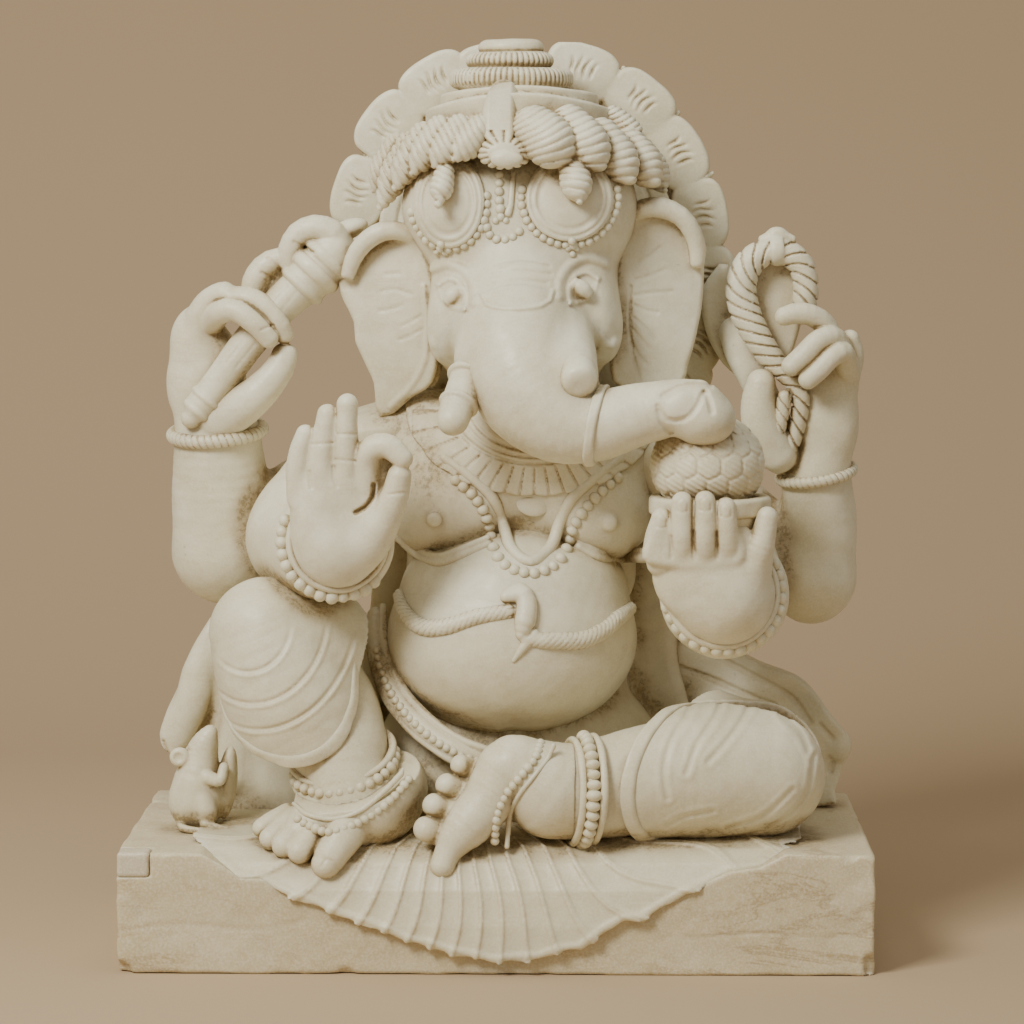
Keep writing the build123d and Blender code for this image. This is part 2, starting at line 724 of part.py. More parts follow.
cord_runs = [
    (CORD, 4.5),
    ([(-72, 326), (-44, 316), (-20, 330)], 4),
    ([(80, 326), (98, 314), (112, 318)], 4),
]

with BuildPart() as cord_blanks:
    for run, radius in cord_runs:
        tube([skin(x, z, 2) for x, z in run], radius, 6)

with BuildPart() as necklace_cords:
    add(apart(cord_blanks.solids(), chest, belly, collar, front_right_upper_arm, front_left_upper_arm))

strand_spots = along([skin(x, z, 4) for x, z in STRAND], 10.6)

with BuildPart() as bead_necklace:
    add(beads(strand_spots, 4.8, None, chest, belly, collar, necklace_cords))

with BuildPart() as serpent_blanks:
    tube([skin(x, z, 1) for x, z in [(-76, 278), (-54, 264), (-20, 274), (8, 281)]], 6.5, 10)
    tube([skin(x, z, 1) for x, z in [(24, 254), (42, 262), (66, 257), (106, 270)]], 6.5, 10)
    limb([skin(14, 296, 5), skin(20, 284, 6), skin(18, 262, 5)], [7, 10, 7])

with BuildPart() as serpent_belt:
    add(apart(serpent_blanks.solids(), belly, chest, bead_necklace, necklace_cords, front_right_upper_arm,
              front_left_forearm, front_left_upper_arm))

# ---------------------------------------------------------------- mouse

MOUSE_Y = -34

with BuildPart() as mouse:
    ellipsoid((-250, MOUSE_Y, 118), (23, 20, 22))
    ellipsoid((-247, MOUSE_Y, 138), (17, 15, 17), (0, 15, 0))
    ellipsoid((-240, MOUSE_Y, 157), (11, 11, 17), (0, 20, 0))
    ellipsoid((-261, MOUSE_Y - 8, 155), (7, 4, 7))
    ellipsoid((-232, MOUSE_Y - 6, 112), (9, 11, 16))
    carve(mouse, plinth, seat_cloth, raised_foot, shawl_right, raised_shin)

# ---------------------------------------------------------------- write one file per element

ELEMENTS = {
    "plinth": plinth,
    "corner_patch": corner_patch,
    "seat_cloth": seat_cloth,
    "belly": belly,
    "chest": chest,
    "hips": hips,
    "head": head,
    "trunk": trunk,
    "trunk_band": trunk_band,
    "tusk_right": tusk_right,
    "tusk_left": tusk_left,
    "ear_right": ear_right,
    "ear_left": ear_left,
    "crown_band": crown_band,
    "crown_rings": crown_rings,
    "crown_strap": crown_strap,
    "hair_curls": hair_curls,
    "brow_ornaments": brow_ornaments,
    "halo_disc": halo_disc,
    "halo_petals": halo_petals,
    "halo_buds": halo_buds,
    "folded_shin": folded_shin,
    "folded_thigh": folded_thigh,
    "folded_foot": folded_foot,
    "folded_hem": folded_hem,
    "folded_anklets": folded_anklets,
    "raised_shin": raised_shin,
    "raised_thigh": raised_thigh,
    "raised_foot": raised_foot,
    "raised_hem": raised_hem,
    "raised_anklets": raised_anklets,
    "shawl_right": shawl_right,
    "shawl_left": shawl_left,
    "hip_band": hip_band,
    "front_right_upper_arm": front_right_upper_arm,
    "front_right_forearm": front_right_forearm,
    "front_right_hand": front_right_hand,
    "front_right_bracelet": front_right_bracelet,
    "front_left_upper_arm": front_left_upper_arm,
    "front_left_forearm": front_left_forearm,
    "front_left_hand": front_left_hand,
    "front_left_bracelet": front_left_bracelet,
    "sweet_bowl": sweet_bowl,
    "sweets": sweets,
    "back_right_arm": back_right_arm,
    "axe_handle": axe_handle,
    "axe_head": axe_head,
    "back_right_hand": back_right_hand,
    "back_right_bracelet": back_right_bracelet,
    "back_left_arm": back_left_arm,
    "noose_rope": noose_rope,
    "noose_web": noose_web,
    "back_left_hand": back_left_hand,
    "back_left_bracelet": back_left_bracelet,
    "collar": collar,
    "necklace_cords": necklace_cords,
    "bead_necklace": bead_necklace,
    "serpent_belt": serpent_belt,
    "mouse": mouse,
}

os.makedirs("parts", exist_ok=True)
for label, element in ELEMENTS.items():
    element.part.label = label
    export_step(element.part, f"parts/{label}.step")
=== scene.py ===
import math

import bpy
import numpy as np
import openvdb
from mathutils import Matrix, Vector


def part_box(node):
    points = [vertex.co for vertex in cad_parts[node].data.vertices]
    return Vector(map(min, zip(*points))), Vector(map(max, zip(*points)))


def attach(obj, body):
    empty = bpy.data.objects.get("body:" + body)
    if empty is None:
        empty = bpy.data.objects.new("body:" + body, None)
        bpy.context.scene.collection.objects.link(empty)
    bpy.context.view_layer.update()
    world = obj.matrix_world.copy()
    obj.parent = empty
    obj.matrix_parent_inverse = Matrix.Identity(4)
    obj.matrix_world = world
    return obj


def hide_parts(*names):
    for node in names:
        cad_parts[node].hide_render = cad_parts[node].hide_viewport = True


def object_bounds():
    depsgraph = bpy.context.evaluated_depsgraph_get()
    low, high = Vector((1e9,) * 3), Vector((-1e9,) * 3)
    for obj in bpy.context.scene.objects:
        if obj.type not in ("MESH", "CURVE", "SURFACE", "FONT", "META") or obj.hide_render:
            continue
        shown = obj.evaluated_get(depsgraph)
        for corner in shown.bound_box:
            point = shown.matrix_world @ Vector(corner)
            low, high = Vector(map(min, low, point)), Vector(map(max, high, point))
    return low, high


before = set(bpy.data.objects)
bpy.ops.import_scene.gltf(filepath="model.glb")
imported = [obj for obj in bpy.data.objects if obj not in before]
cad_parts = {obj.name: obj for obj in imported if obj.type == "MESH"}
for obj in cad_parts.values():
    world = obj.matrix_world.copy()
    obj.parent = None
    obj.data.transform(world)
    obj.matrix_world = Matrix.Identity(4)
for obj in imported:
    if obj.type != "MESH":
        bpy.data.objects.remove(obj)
CAD_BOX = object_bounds()

# ------------------------------------------------------------------ sculpting kit: signed distances in mm
# Forms are sculpted in the CAD frame in millimetres, from the centre of the underside of the plinth.

FINE = 1.5
BLOCK = 8
LOW = np.array(CAD_BOX[0]) * 1000
HIGH = np.array(CAD_BOX[1]) * 1000
BASE = np.array([(LOW[0] + HIGH[0]) / 2, (LOW[1] + HIGH[1]) / 2, LOW[2]])


def node_box(name):
    low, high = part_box(name)
    return np.array(low) * 1000 - BASE, np.array(high) * 1000 - BASE


def gap(lo, hi, lo2, hi2):
    return float(np.sqrt((np.maximum(0, np.maximum(lo2 - hi, lo - hi2)) ** 2).sum()))


class Prim:
    def __init__(self, f, lo, hi):
        self.f, self.lo, self.hi = f, np.array(lo, float), np.array(hi, float)


def turn(deg):
    """Rotation matrix from X, Y, Z angles in degrees."""
    a, b, c = (math.radians(v) for v in deg)
    rx = np.array([[1, 0, 0], [0, math.cos(a), -math.sin(a)], [0, math.sin(a), math.cos(a)]])
    ry = np.array([[math.cos(b), 0, math.sin(b)], [0, 1, 0], [-math.sin(b), 0, math.cos(b)]])
    rz = np.array([[math.cos(c), -math.sin(c), 0], [math.sin(c), math.cos(c), 0], [0, 0, 1]])
    return rz @ ry @ rx


def ball(c, r, deg=(0, 0, 0)):
    """Ellipsoid at c with radii r."""
    r = np.array([r] * 3 if np.isscalar(r) else r, float)
    m, c = turn(deg), np.array(c, float)
    reach = np.sqrt((m * r) ** 2 @ np.ones(3))

    def f(x, y, z):
        x, y, z = x - c[0], y - c[1], z - c[2]
        u = (m[0, 0] * x + m[1, 0] * y + m[2, 0] * z) / r[0]
        v = (m[0, 1] * x + m[1, 1] * y + m[2, 1] * z) / r[1]
        w = (m[0, 2] * x + m[1, 2] * y + m[2, 2] * z) / r[2]
        k0 = np.sqrt(u * u + v * v + w * w)
        k1 = np.sqrt((u / r[0]) ** 2 + (v / r[1]) ** 2 + (w / r[2]) ** 2) + 1e-9
        return k0 * (k0 - 1) / k1

    return Prim(f, c - reach, c + reach)


def smooth_path(points, step=5.0):
    """Catmull-Rom through rows of numbers (x, y, z, ...), roughly every step."""
    p = np.array(points, float)
    if len(p) < 3:
        return p
    ext = np.vstack([2 * p[0] - p[1], p, 2 * p[-1] - p[-2]])
    out = []
    for i in range(1, len(ext) - 2):
        n = max(1, int(np.linalg.norm(ext[i + 1][:3] - ext[i][:3]) / step))
        t = (np.arange(n) / n)[:, None]
        a, b, c, d = ext[i - 1], ext[i], ext[i + 1], ext[i + 2]
        out.append(0.5 * (2 * b + (c - a) * t + (2 * a - 5 * b + 4 * c - d) * t**2
                          + (3 * b - a - 3 * c + d) * t**3))
    return np.vstack(out + [p[-1:]])


def tube(points, radii, step=6.0, flat=(1, 1, 1), smooth=True):
    """Round-ended tube through points, with a radius at each; flat squeezes an axis."""
    radii = [radii] * len(points) if np.isscalar(radii) else radii
    rows = np.hstack([np.array(points, float), np.array(radii, float)[:, None]])
    rows = smooth_path(rows, step) if smooth else rows
    flat = np.array(flat, float)
    p, r = rows[:, :3] / flat, rows[:, 3]
    lo = np.minimum(p[:-1], p[1:]) - np.maximum(r[:-1], r[1:])[:, None]
    hi = np.maximum(p[:-1], p[1:]) + np.maximum(r[:-1], r[1:])[:, None]
    least = flat.min()

    def f(x, y, z):
        x, y, z = x / flat[0], y / flat[1], z / flat[2]
        a = np.array([x.min(), y.min(), z.min()])
        b = np.array([x.max(), y.max(), z.max()])
        gaps = np.sqrt((np.maximum(0, np.maximum(lo - b, a - hi)) ** 2).sum(1))
        d = None
        for i in np.nonzero(gaps <= gaps.min() + 22)[0]:
            ab = p[i + 1] - p[i]
            px, py, pz = x - p[i, 0], y - p[i, 1], z - p[i, 2]
            t = np.clip((px * ab[0] + py * ab[1] + pz * ab[2]) / max(ab @ ab, 1e-6), 0, 1)
            q = np.sqrt((px - t * ab[0]) ** 2 + (py - t * ab[1]) ** 2 + (pz - t * ab[2]) ** 2)
            q = q - (r[i] + t * (r[i + 1] - r[i]))
            d = q if d is None else np.minimum(d, q)
        return d * least

    return Prim(f, lo.min(0) * flat, hi.max(0) * flat)


def block(lo, hi, rounding=1.0):
    """Box with rounded edges."""
    lo, hi = np.array(lo, float), np.array(hi, float)
    c, h = (lo + hi) / 2, (hi - lo) / 2 - rounding

    def f(x, y, z):
        dx, dy, dz = abs(x - c[0]) - h[0], abs(y - c[1]) - h[1], abs(z - c[2]) - h[2]
        out = np.sqrt(np.maximum(dx, 0) ** 2 + np.maximum(dy, 0) ** 2 + np.maximum(dz, 0) ** 2)
        return out + np.minimum(np.maximum(dx, np.maximum(dy, dz)), 0) - rounding

    return Prim(f, lo, hi)


def outline_distance(pts, u, v):
    """Signed distance in a plane to a closed outline, negative inside."""
    d = np.full(u.shape, 1e9, np.float32)
    inside = np.zeros(u.shape, bool)
    for (ax, ay), (bx, by) in zip(pts, np.roll(pts, -1, axis=0)):
        ex, ey = bx - ax, by - ay
        wx, wy = u - ax, v - ay
        t = np.clip((wx * ex + wy * ey) / max(ex * ex + ey * ey, 1e-9), 0, 1)
        d = np.minimum(d, (wx - t * ex) ** 2 + (wy - t * ey) ** 2)
        if ay != by:
            inside ^= ((ay > v) != (by > v)) & (u < ex * (v - ay) / ey + ax)
    d = np.sqrt(d)
    return np.where(inside, -d, d)


def rounded(a, b, radius):
    """Overlap of two distances that were moved in by radius, with a rounded edge where they meet."""
    return np.minimum(np.maximum(a, b), 0) + np.hypot(np.maximum(a, 0), np.maximum(b, 0)) - radius


def slab(outline, y, half, rounding=3.0, smooth=True, step=6.0, bulge=0.0):
    """Plate with a front-view outline of (x, z); y is its mid-plane, a number or a function of (x, z)."""
    pts = np.array(outline, float)
    if smooth:
        loop = np.vstack([pts[-1:], pts, pts[:2]])
        fine = smooth_path(np.hstack([loop, np.zeros((len(loop), 1))]), step)[:, :2]
        start = int(np.argmin(((fine - pts[0]) ** 2).sum(1)))
        rest = fine[start + 1:]
        stop = int(np.argmin(((rest - pts[0]) ** 2).sum(1)))
        pts = np.vstack([fine[start:start + 1], rest[:stop]])
    ys = [y] if np.isscalar(y) else [y(a, b) for a, b in pts]
    mid = (lambda x, z: y) if np.isscalar(y) else y

    def f(x, yy, z):
        d2 = outline_distance(pts, x, z)
        w = abs(yy - mid(x, z)) - half + rounding
        if bulge:
            w = w - bulge * np.clip(-d2 / 20, 0, 1) ** 0.5
        d2 = d2 + rounding
        return rounded(d2, w, rounding)

    lo = [pts[:, 0].min(), min(ys) - half - bulge - 4, pts[:, 1].min()]
    hi = [pts[:, 0].max(), max(ys) + half + bulge + 4, pts[:, 1].max()]
    return Prim(f, lo, hi)


def ring(c, normal, radius, thick, squash=1.0):
    """Torus, its section squashed along the normal."""
    n = np.array(normal, float) / np.linalg.norm(normal)
    c = np.array(c, float)

    def f(x, y, z):
        x, y, z = x - c[0], y - c[1], z - c[2]
        h = x * n[0] + y * n[1] + z * n[2]
        rad = np.sqrt(np.maximum(x * x + y * y + z * z - h * h, 0))
        return np.sqrt((rad - radius) ** 2 + (h / squash) ** 2) - thick

    e = radius + thick * max(1, squash)
    return Prim(f, c - e, c + e)


def half_space(n, c, lo, hi):
    """Everything with n . p > c is outside."""
    size = np.linalg.norm(n)
    n, c = np.array(n, float) / size, c / size
    return Prim(lambda x, y, z: n[0] * x + n[1] * y + n[2] * z - c, lo, hi)


def hump(t):
    """Smooth bump: 1 at 0, 0 beyond 1."""
    t = np.clip(abs(t), 0, 1)
    return (1 - t * t) ** 2


def trail(points, u, v, smooth=True):
    """Distance in a plane to an open line."""
    p = np.array(points, float)
    if smooth and len(p) > 2:
        p = smooth_path(np.hstack([p, np.zeros((len(p), 1))]), 5)[:, :2]
    d = None
    for (ax, ay), (bx, by) in zip(p, p[1:]):
        ex, ey = bx - ax, by - ay
        t = np.clip(((u - ax) * ex + (v - ay) * ey) / max(ex * ex + ey * ey, 1e-9), 0, 1)
        q = (u - ax - t * ex) ** 2 + (v - ay - t * ey) ** 2
        d = q if d is None else np.minimum(d, q)
    return np.sqrt(d)


class Form:
    """Sculpted form: a list of smooth additions, cuts and surface carvings."""

    def __init__(self, *prims, k=0.0):
        self.ops, self.lo, self.hi = [], np.full(3, 1e9), np.full(3, -1e9)
        for prim in prims:
            self.add(prim, k)

    def add(self, prim, k=0.0):
        self.ops.append(("add", prim, k))
        self.lo, self.hi = np.minimum(self.lo, prim.lo), np.maximum(self.hi, prim.hi)
        return self

    def cut(self, prim, k=0.0):
        self.ops.append(("cut", prim, k))
        return self

    def keep(self, prim, k=0.0):
        self.ops.append(("keep", prim, k))
        self.lo, self.hi = np.maximum(self.lo, prim.lo), np.minimum(self.hi, prim.hi)
        return self

    def carve(self, f, lo, hi):
        """Displace the surface: f(x, y, z) is how far it recedes, zero at the box lo, hi."""
        self.ops.append(("carve", Prim(f, lo, hi), 0))
        return self

    def groove(self, lines, depth, width, y=(-200, 200), smooth=True):
        """Carve front-view (x, z) lines; a negative depth raises them."""
        for line in lines:
            a = np.array(line, float)
            lo = (a[:, 0].min() - width, y[0], a[:, 1].min() - width)
            hi = (a[:, 0].max() + width, y[1], a[:, 1].max() + width)
            self.carve(lambda x, yy, z, a=a: depth * hump(trail(a, x, z, smooth) / width), lo, hi)
        return self

    def join(self, other, k=0.0):
        """Add another form as a whole."""
        return self.add(Prim(lambda x, y, z: other.at(x, y, z), other.lo, other.hi), k)

    def copy(self):
        new = Form()
        new.ops, new.lo, new.hi = list(self.ops), self.lo.copy(), self.hi.copy()
        return new

    def at(self, x, y, z):
        d = np.full(x.shape, 60.0, np.float32)
        lo = np.array([x.min(), y.min(), z.min()])
        hi = np.array([x.max(), y.max(), z.max()])
        for kind, prim, k in self.ops:
            away = gap(lo, hi, prim.lo, prim.hi)
            if kind == "add":
                if away > 24 + k:
                    continue
                v = prim.f(x, y, z)
                if k:
                    h = np.clip(0.5 + 0.5 * (d - v) / k, 0, 1)
                    d = d + (v - d) * h - k * h * (1 - h)
                else:
                    d = np.minimum(d, v)
            elif kind in ("cut", "keep"):
                if kind == "cut" and away > 6 + k:
                    continue
                v = -prim.f(x, y, z) if kind == "cut" else prim.f(x, y, z)
                if k:
                    h = np.clip(0.5 - 0.5 * (d - v) / k, 0, 1)
                    d = d + (v - d) * h + k * h * (1 - h)
                else:
                    d = np.maximum(d, v)
            elif away == 0:
                near = (
                    (x > prim.lo[0]) & (x < prim.hi[0]) & (y > prim.lo[1]) & (y < prim.hi[1])
                    & (z > prim.lo[2]) & (z < prim.hi[2])
                )
                if near.any():
                    d[near] = d[near] + prim.f(x[near], y[near], z[near])
        return d


def wobble(x, y, z):
    """Unevenness of hand carving, in mm."""
    a = np.sin(x / 13 + 1.3 * np.sin(z / 17)) * np.sin(y / 11 + 0.7) * np.sin(z / 12 + 0.9 * np.sin(x / 19))
    b = np.sin(x / 5.1 + y / 6.3) * np.sin(z / 5.7 - y / 7.9 + 1.0) * np.sin(x / 7.3 - z / 6.1)
    return 0.45 * a + 0.16 * b


def spread(points, cell):
    """Groups of point numbers by coarse cell, so that each group sees few primitives."""
    key = np.floor(points / cell).astype(np.int64)
    flat = (key[:, 0] + 512) * 1048576 + (key[:, 1] + 512) * 1024 + key[:, 2] + 512
    order = np.argsort(flat, kind="stable")
    return np.split(order, np.nonzero(np.diff(flat[order]))[0] + 1)


def sample(form, points, cell=32.0):
    out = np.empty(len(points), np.float32)
    for group in spread(points, cell):
        x, y, z = points[group].T.astype(np.float32)
        out[group] = form.at(x, y, z) + wobble(x, y, z)
    return out


def skin(form, h):
    """Quads of a form's surface at voxel h."""
    lo = form.lo - 4 * h
    n = np.ceil((form.hi + 4 * h - lo) / (h * BLOCK)).astype(int)
    centres = np.stack(np.meshgrid(*[np.arange(k) for k in n], indexing="ij"), -1).reshape(-1, 3)
    mids = lo + (centres + 0.5) * h * BLOCK
    rough = sample(form, mids, 96.0)
    dense = np.empty(n * BLOCK, np.float32).reshape(n[0], BLOCK, n[1], BLOCK, n[2], BLOCK)
    dense[:] = np.where(rough < 0, -20, 20).astype(np.float32).reshape(n[0], 1, n[1], 1, n[2], 1)
    live = np.nonzero(abs(rough) < h * BLOCK * 1.25 + 3)[0]
    tick = (np.arange(BLOCK) * h).astype(np.float32)
    ox, oy, oz = np.meshgrid(tick, tick, tick, indexing="ij")
    for group in spread(mids[live], 4 * h * BLOCK):
        ids = centres[live[group]]
        base = (lo + ids * h * BLOCK).astype(np.float32)
        x = (base[:, 0, None, None, None] + ox[None]).ravel()
        y = (base[:, 1, None, None, None] + oy[None]).ravel()
        z = (base[:, 2, None, None, None] + oz[None]).ravel()
        d = form.at(x, y, z) + wobble(x, y, z)
        dense[ids[:, 0], :, ids[:, 1], :, ids[:, 2], :] = d.reshape(-1, BLOCK, BLOCK, BLOCK)
    grid = openvdb.FloatGrid(20.0)
    grid.copyFromArray(dense.reshape(n * BLOCK))
    points, quads = grid.convertToQuads(isovalue=0.0)
    return lo + np.array(points, float) * h, np.array(quads, np.int64)


def slope(form, p, eps=0.5):
    d0 = sample(form, p)
    g = np.stack([sample(form, p + eps * np.eye(3)[i]) - d0 for i in range(3)], 1) / eps
    return d0, g


PIECES = []


def piece(name, form, fine=None, node=None):
    """Mesh a form, at voxel size fine, as the piece for the CAD node of its own name, or for node."""
    h = fine or FINE
    p, quads = skin(form, h)
    for _ in range(2):
        d, g = slope(form, p)
        g2 = np.maximum((g * g).sum(1), 0.15)
        p = p - np.clip(d / g2, -h, h)[:, None] * g
    d, g = slope(form, p)
    normal = g / np.maximum(np.linalg.norm(g, axis=1), 1e-6)[:, None]
    a, b, c = p[quads[:, 0]], p[quads[:, 1]], p[quads[:, 2]]
    if (np.cross(b - a, c - a) * normal[quads[:, 0]]).sum() < 0:
        quads = quads[:, ::-1]
    # close and wide say how enclosed the surface is, near and farther out; the marble darkens it there as dirt
    # and painted shade.
    close = np.clip(1 - sample(form, p + 2.5 * normal) / 2.5, 0, 2)
    wide = np.clip(1 - sample(form, p + 7 * normal) / 7, 0, 2)
    edge = np.clip(1 + sample(form, p - 2.5 * normal) / 2.5, 0, 2)
    PIECES.append({"name": name, "form": form, "nodes": [node or name], "p": p, "quads": quads,
                   "normal": normal, "close": close, "wide": wide, "edge": edge})


def beads(name, centres, radius, node, stretch=None):
    """A row of carved beads: rounded, slightly irregular balls; stretch gives (along, across) factors."""
    rings, sides = ((10, 16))
    lat = np.linspace(0, math.pi, rings + 1)[1:-1]
    lon = np.arange(sides) / sides * 2 * math.pi
    unit = [[0, 0, 1]] + [[math.sin(a) * math.cos(b), math.sin(a) * math.sin(b),
                           math.cos(a)] for a in lat for b in lon]
    unit = np.array(unit + [[0, 0, -1]])
    last = len(unit) - 1
    quads = []
    for i in range(sides):
        j = (i + 1) % sides
        quads.append([0, 1 + i, 1 + j, 1 + j])
        for k in range(rings - 2):
            s = 1 + k * sides
            quads.append([s + i, s + sides + i, s + sides + j, s + j])
        s = 1 + (rings - 2) * sides
        quads.append([s + i, last, last, s + j])
    quads = np.array(quads)
    centres = np.array(centres, float)
    rng = np.random.default_rng(len(name) * 101 + len(centres))
    verts, faces, normals = [], [], []
    for n, c in enumerate(centres):
        before = centres[n - 1] if n else centres[n]
        after = centres[n + 1] if n + 1 < len(centres) else centres[n]
        along = (after - before) / max(np.linalg.norm(after - before), 1e-6)
        r = radius * (1 + 0.05 * rng.standard_normal())
        v = unit * r
        if stretch:
            part = (v @ along)[:, None] * along
            v = part * stretch[0] + (v - part) * stretch[1]
        verts.append(v + c + rng.normal(0, 0.12 * radius / 4, 3))
        normals.append(unit)
        faces.append(quads + n * len(unit))
    p = np.vstack(verts)
    zero = np.zeros(len(p))
    PIECES.append({"name": name, "form": None, "nodes": [node], "p": p, "quads": np.vstack(faces),
                   "normal": np.vstack(normals), "close": zero, "wide": zero, "edge": zero + 0.35})


def along(points, pitch):
    """Evenly spaced points on a smooth line."""
    p = smooth_path(points, 1.5)
    s = np.concatenate([[0], np.cumsum(np.linalg.norm(np.diff(p, axis=0), axis=1))])
    count = max(1, int(round(s[-1] / pitch)))
    t = (np.arange(count) + 0.5) / count * s[-1]
    return np.stack([np.interp(t, s, p[:, i]) for i in range(3)], 1)


def loop_points(c, normal, radius, first, last, count=24, lift=(0, 0, 1)):
    """Points round a circle, by angle in degrees from the sideways direction through lift."""
    n = np.array(normal, float) / np.linalg.norm(normal)
    up = np.array(lift, float) - n * (np.array(lift, float) @ n)
    up /= np.linalg.norm(up)
    side = np.cross(up, n)
    if side[0] < 0:
        side = -side
    a = np.radians(np.linspace(first, last, count))
    return np.array(c) + radius * (np.cos(a)[:, None] * side + np.sin(a)[:, None] * up)


def drop_to(form, points, sink=0.0, ahead=(0, -1, 0), reach=60.0):
    """Move points onto a form's surface, coming from ahead of it."""
    p = np.array(points, float)
    ray = -np.array(ahead, float) / np.linalg.norm(ahead)
    start = p - ray * reach
    t = np.zeros(len(p))
    for _ in range(60):
        d = sample(form, start + t[:, None] * ray)
        t += np.clip(d, -3, 12) * 0.8
    t = np.where(t > 2.4 * reach, reach, t)
    return start + (t + sink)[:, None] * ray


# ------------------------------------------------------------------ plinth, repair patch and seat cloth

P_LO, P_HI = node_box("plinth")
K_LO, K_HI = node_box("corner_patch")
FOCUS = (-22.0, 168.0)
RIM = [(-243, 99), (-219, 86), (-203, 75), (-186, 74), (-161, 62), (-143, 56), (-123, 47), (-103, 41),
       (-86, 35), (-69, 27), (-52, 24), (-36, 18), (-18, 15), (-2, 11), (16, 13), (35, 14), (52, 20), (68, 22),
       (87, 36), (101, 44), (117, 46), (139, 59), (152, 66), (167, 72), (186, 81), (209, 84), (231, 95),
       (246, 99)]
FAN = np.array(RIM + [(246, 130), (-243, 130)], float)


def chips(x, y, z):
    pits = hump((np.sin(x / 7.0) + np.sin(y / 9.0 + z / 5.0)) / 1.2)
    return 1.4 * pits * hump((np.sin(x / 23 + y / 31) - 0.8) / 0.9)


PROFILE = np.array([(-145.5, -2), (-144.5, 40), (-139.5, 68), (-127, 88), (-108, 97), (-84, 101), (-50, 103),
                    (20, 103), (20, -2)])


def cloth_profile(x, y, z):
    """Distance to the cloth's outer face, seen from the side."""
    return outline_distance(PROFILE, y, z)


def recess(x, y, z):
    return np.maximum(outline_distance(FAN, x, z) + 2.5, -3.5 - cloth_profile(x, y, z))


plinth = Form(block(P_LO, P_HI, 2.2))
plinth.carve(lambda x, y, z: 0.5 * np.sin(z / 9 + x / 70) * np.sin(x / 43 + 1) + 0.3 * chips(x, y, z),
             P_LO - 5, P_HI + 5)
for cx, cy, cz, r in [(301, -138, 12, 7), (300, -137, 6, 6), (-300, -137, 2, 8), (300, -137, 99, 5),
                      (-118, -139, 0, 6), (40, -139, -1, 5), (256, -138, 100, 4), (266, -137, 100, 3),
                      (300, 20, 98, 4), (300, 145, 96, 7), (-300, 90, 98, 5), (-300, 145, 40, 4),
                      (280, -138, 97, 5), (-262, -138, 98, 3)]:
    plinth.cut(ball((cx, cy, cz), (r * 1.5, r, r)), 2)
plinth.groove([[(-300, 34), (-250, 40), (-190, 36), (-150, 44)], [(150, 30), (210, 34), (262, 31), (300, 36)]],
              0.7, 2.2, (-150, -120))
plinth.cut(Prim(recess, (-246, -150, 8), (250, 30, 110)), 0.5)
plinth.keep(half_space((0, 0, -1), 0.0, P_LO, P_HI))
plinth.cut(block((K_LO[0] - 5, K_LO[1] - 5, K_LO[2] + 0.2), (K_HI[0] - 0.2, K_HI[1] - 0.2, K_HI[2] + 5), 3),
           0.5)
piece("plinth", plinth, 2.2)

patch = Form(block(K_LO, (K_HI[0] - 0.9, K_HI[1] - 0.5, K_HI[2] + 0.4), 3.4))
piece("corner_patch", patch, 1.2)


def pleats(x, y, z):
    """Ribs fan out from the focus and meander: a narrow raised double line beside a broad shallow trough."""
    dx, dz = x - FOCUS[0], FOCUS[1] - z - 0.35 * np.clip(y + 110, 0, 80)
    a = np.arctan2(dx, np.maximum(dz, 1))
    r = np.hypot(dx, dz)
    a = a + 0.05 * np.sin(r / 24 + 2.2 * a) + 0.035 * np.sin(3.1 * a + 0.7)
    s = (a / 0.152) % 1.0
    rib = hump((s - 0.5) / 0.16)
    line = hump((s - 0.5) / 0.05)
    trough = np.sin(math.pi * ((s + 0.5) % 1.0))
    fade = np.clip((r - 40) / 40, 0, 1)
    return fade * (-1.7 * rib + 1.2 * line + 1.6 * trough ** 0.7 - 0.9)


def cloth_body(x, y, z):
    rim = outline_distance(FAN, x, z) + 1.4 * np.sin(x / 5.5 + 1) * np.sin(x / 13.0)
    d = np.maximum(rim, cloth_profile(x, y, z))
    return np.maximum(d, -8.5 - cloth_profile(x, y, z))


cloth = Form(Prim(cloth_body, (-250, -150, 4), (252, 22, 108)))
cloth.carve(pleats, (-260, -160, 0), (260, -20, 106))
cloth.carve(lambda x, y, z: -1.3 * hump((outline_distance(FAN, x, z) + 4) / 4), (-260, -160, 0),
            (260, -100, 92))
piece("seat_cloth", cloth, 1.6)

# ------------------------------------------------------------------ torso

belly = Form(ball((11, -1, 252), (103, 92, 82)))
belly.add(ball((14, 4, 300), (88, 74, 46)), 20)
belly.carve(lambda x, y, z: 2.2 * hump(np.hypot(x - 14, z - 178) / 16), (-4, -90, 160), (32, 0, 196))

chest = Form(ball((18, 34, 360), (98, 46, 78)))
chest.add(ball((-38, -2, 358), (56, 43, 42)), 30)
chest.add(ball((76, -2, 356), (53, 43, 41)), 30)
chest.add(ball((20, 0, 400), (92, 46, 42)), 30)
chest.add(tube([(-60, 30, 415), (-118, 32, 398)], [40, 38]), 28)
chest.add(tube([(96, 30, 415), (150, 34, 396)], [40, 36]), 28)
chest.add(ball((18, 40, 300), (96, 44, 60)), 20)
chest.add(ball((-51, -47.5, 353), (6, 4, 6)), 6)
chest.add(ball((91, -45.5, 350), (6, 4, 6)), 6)

hips = Form(ball((16, 34, 150), (118, 78, 80)))
hips.add(block((-105, -30, 96), (128, 108, 150), 20), 24)
hips.add(ball((18, 42, 235), (92, 52, 70)), 20)
hips.keep(half_space((0, 0, -1), -95, (-200, -150, 94), (300, 200, 400)))
hips.groove([[(-60, 140), (-40, 118), (-30, 100)], [(-78, 150), (-62, 120), (-55, 100)],
             [(-46, 150), (-22, 128), (-8, 112)]], 2, 4)

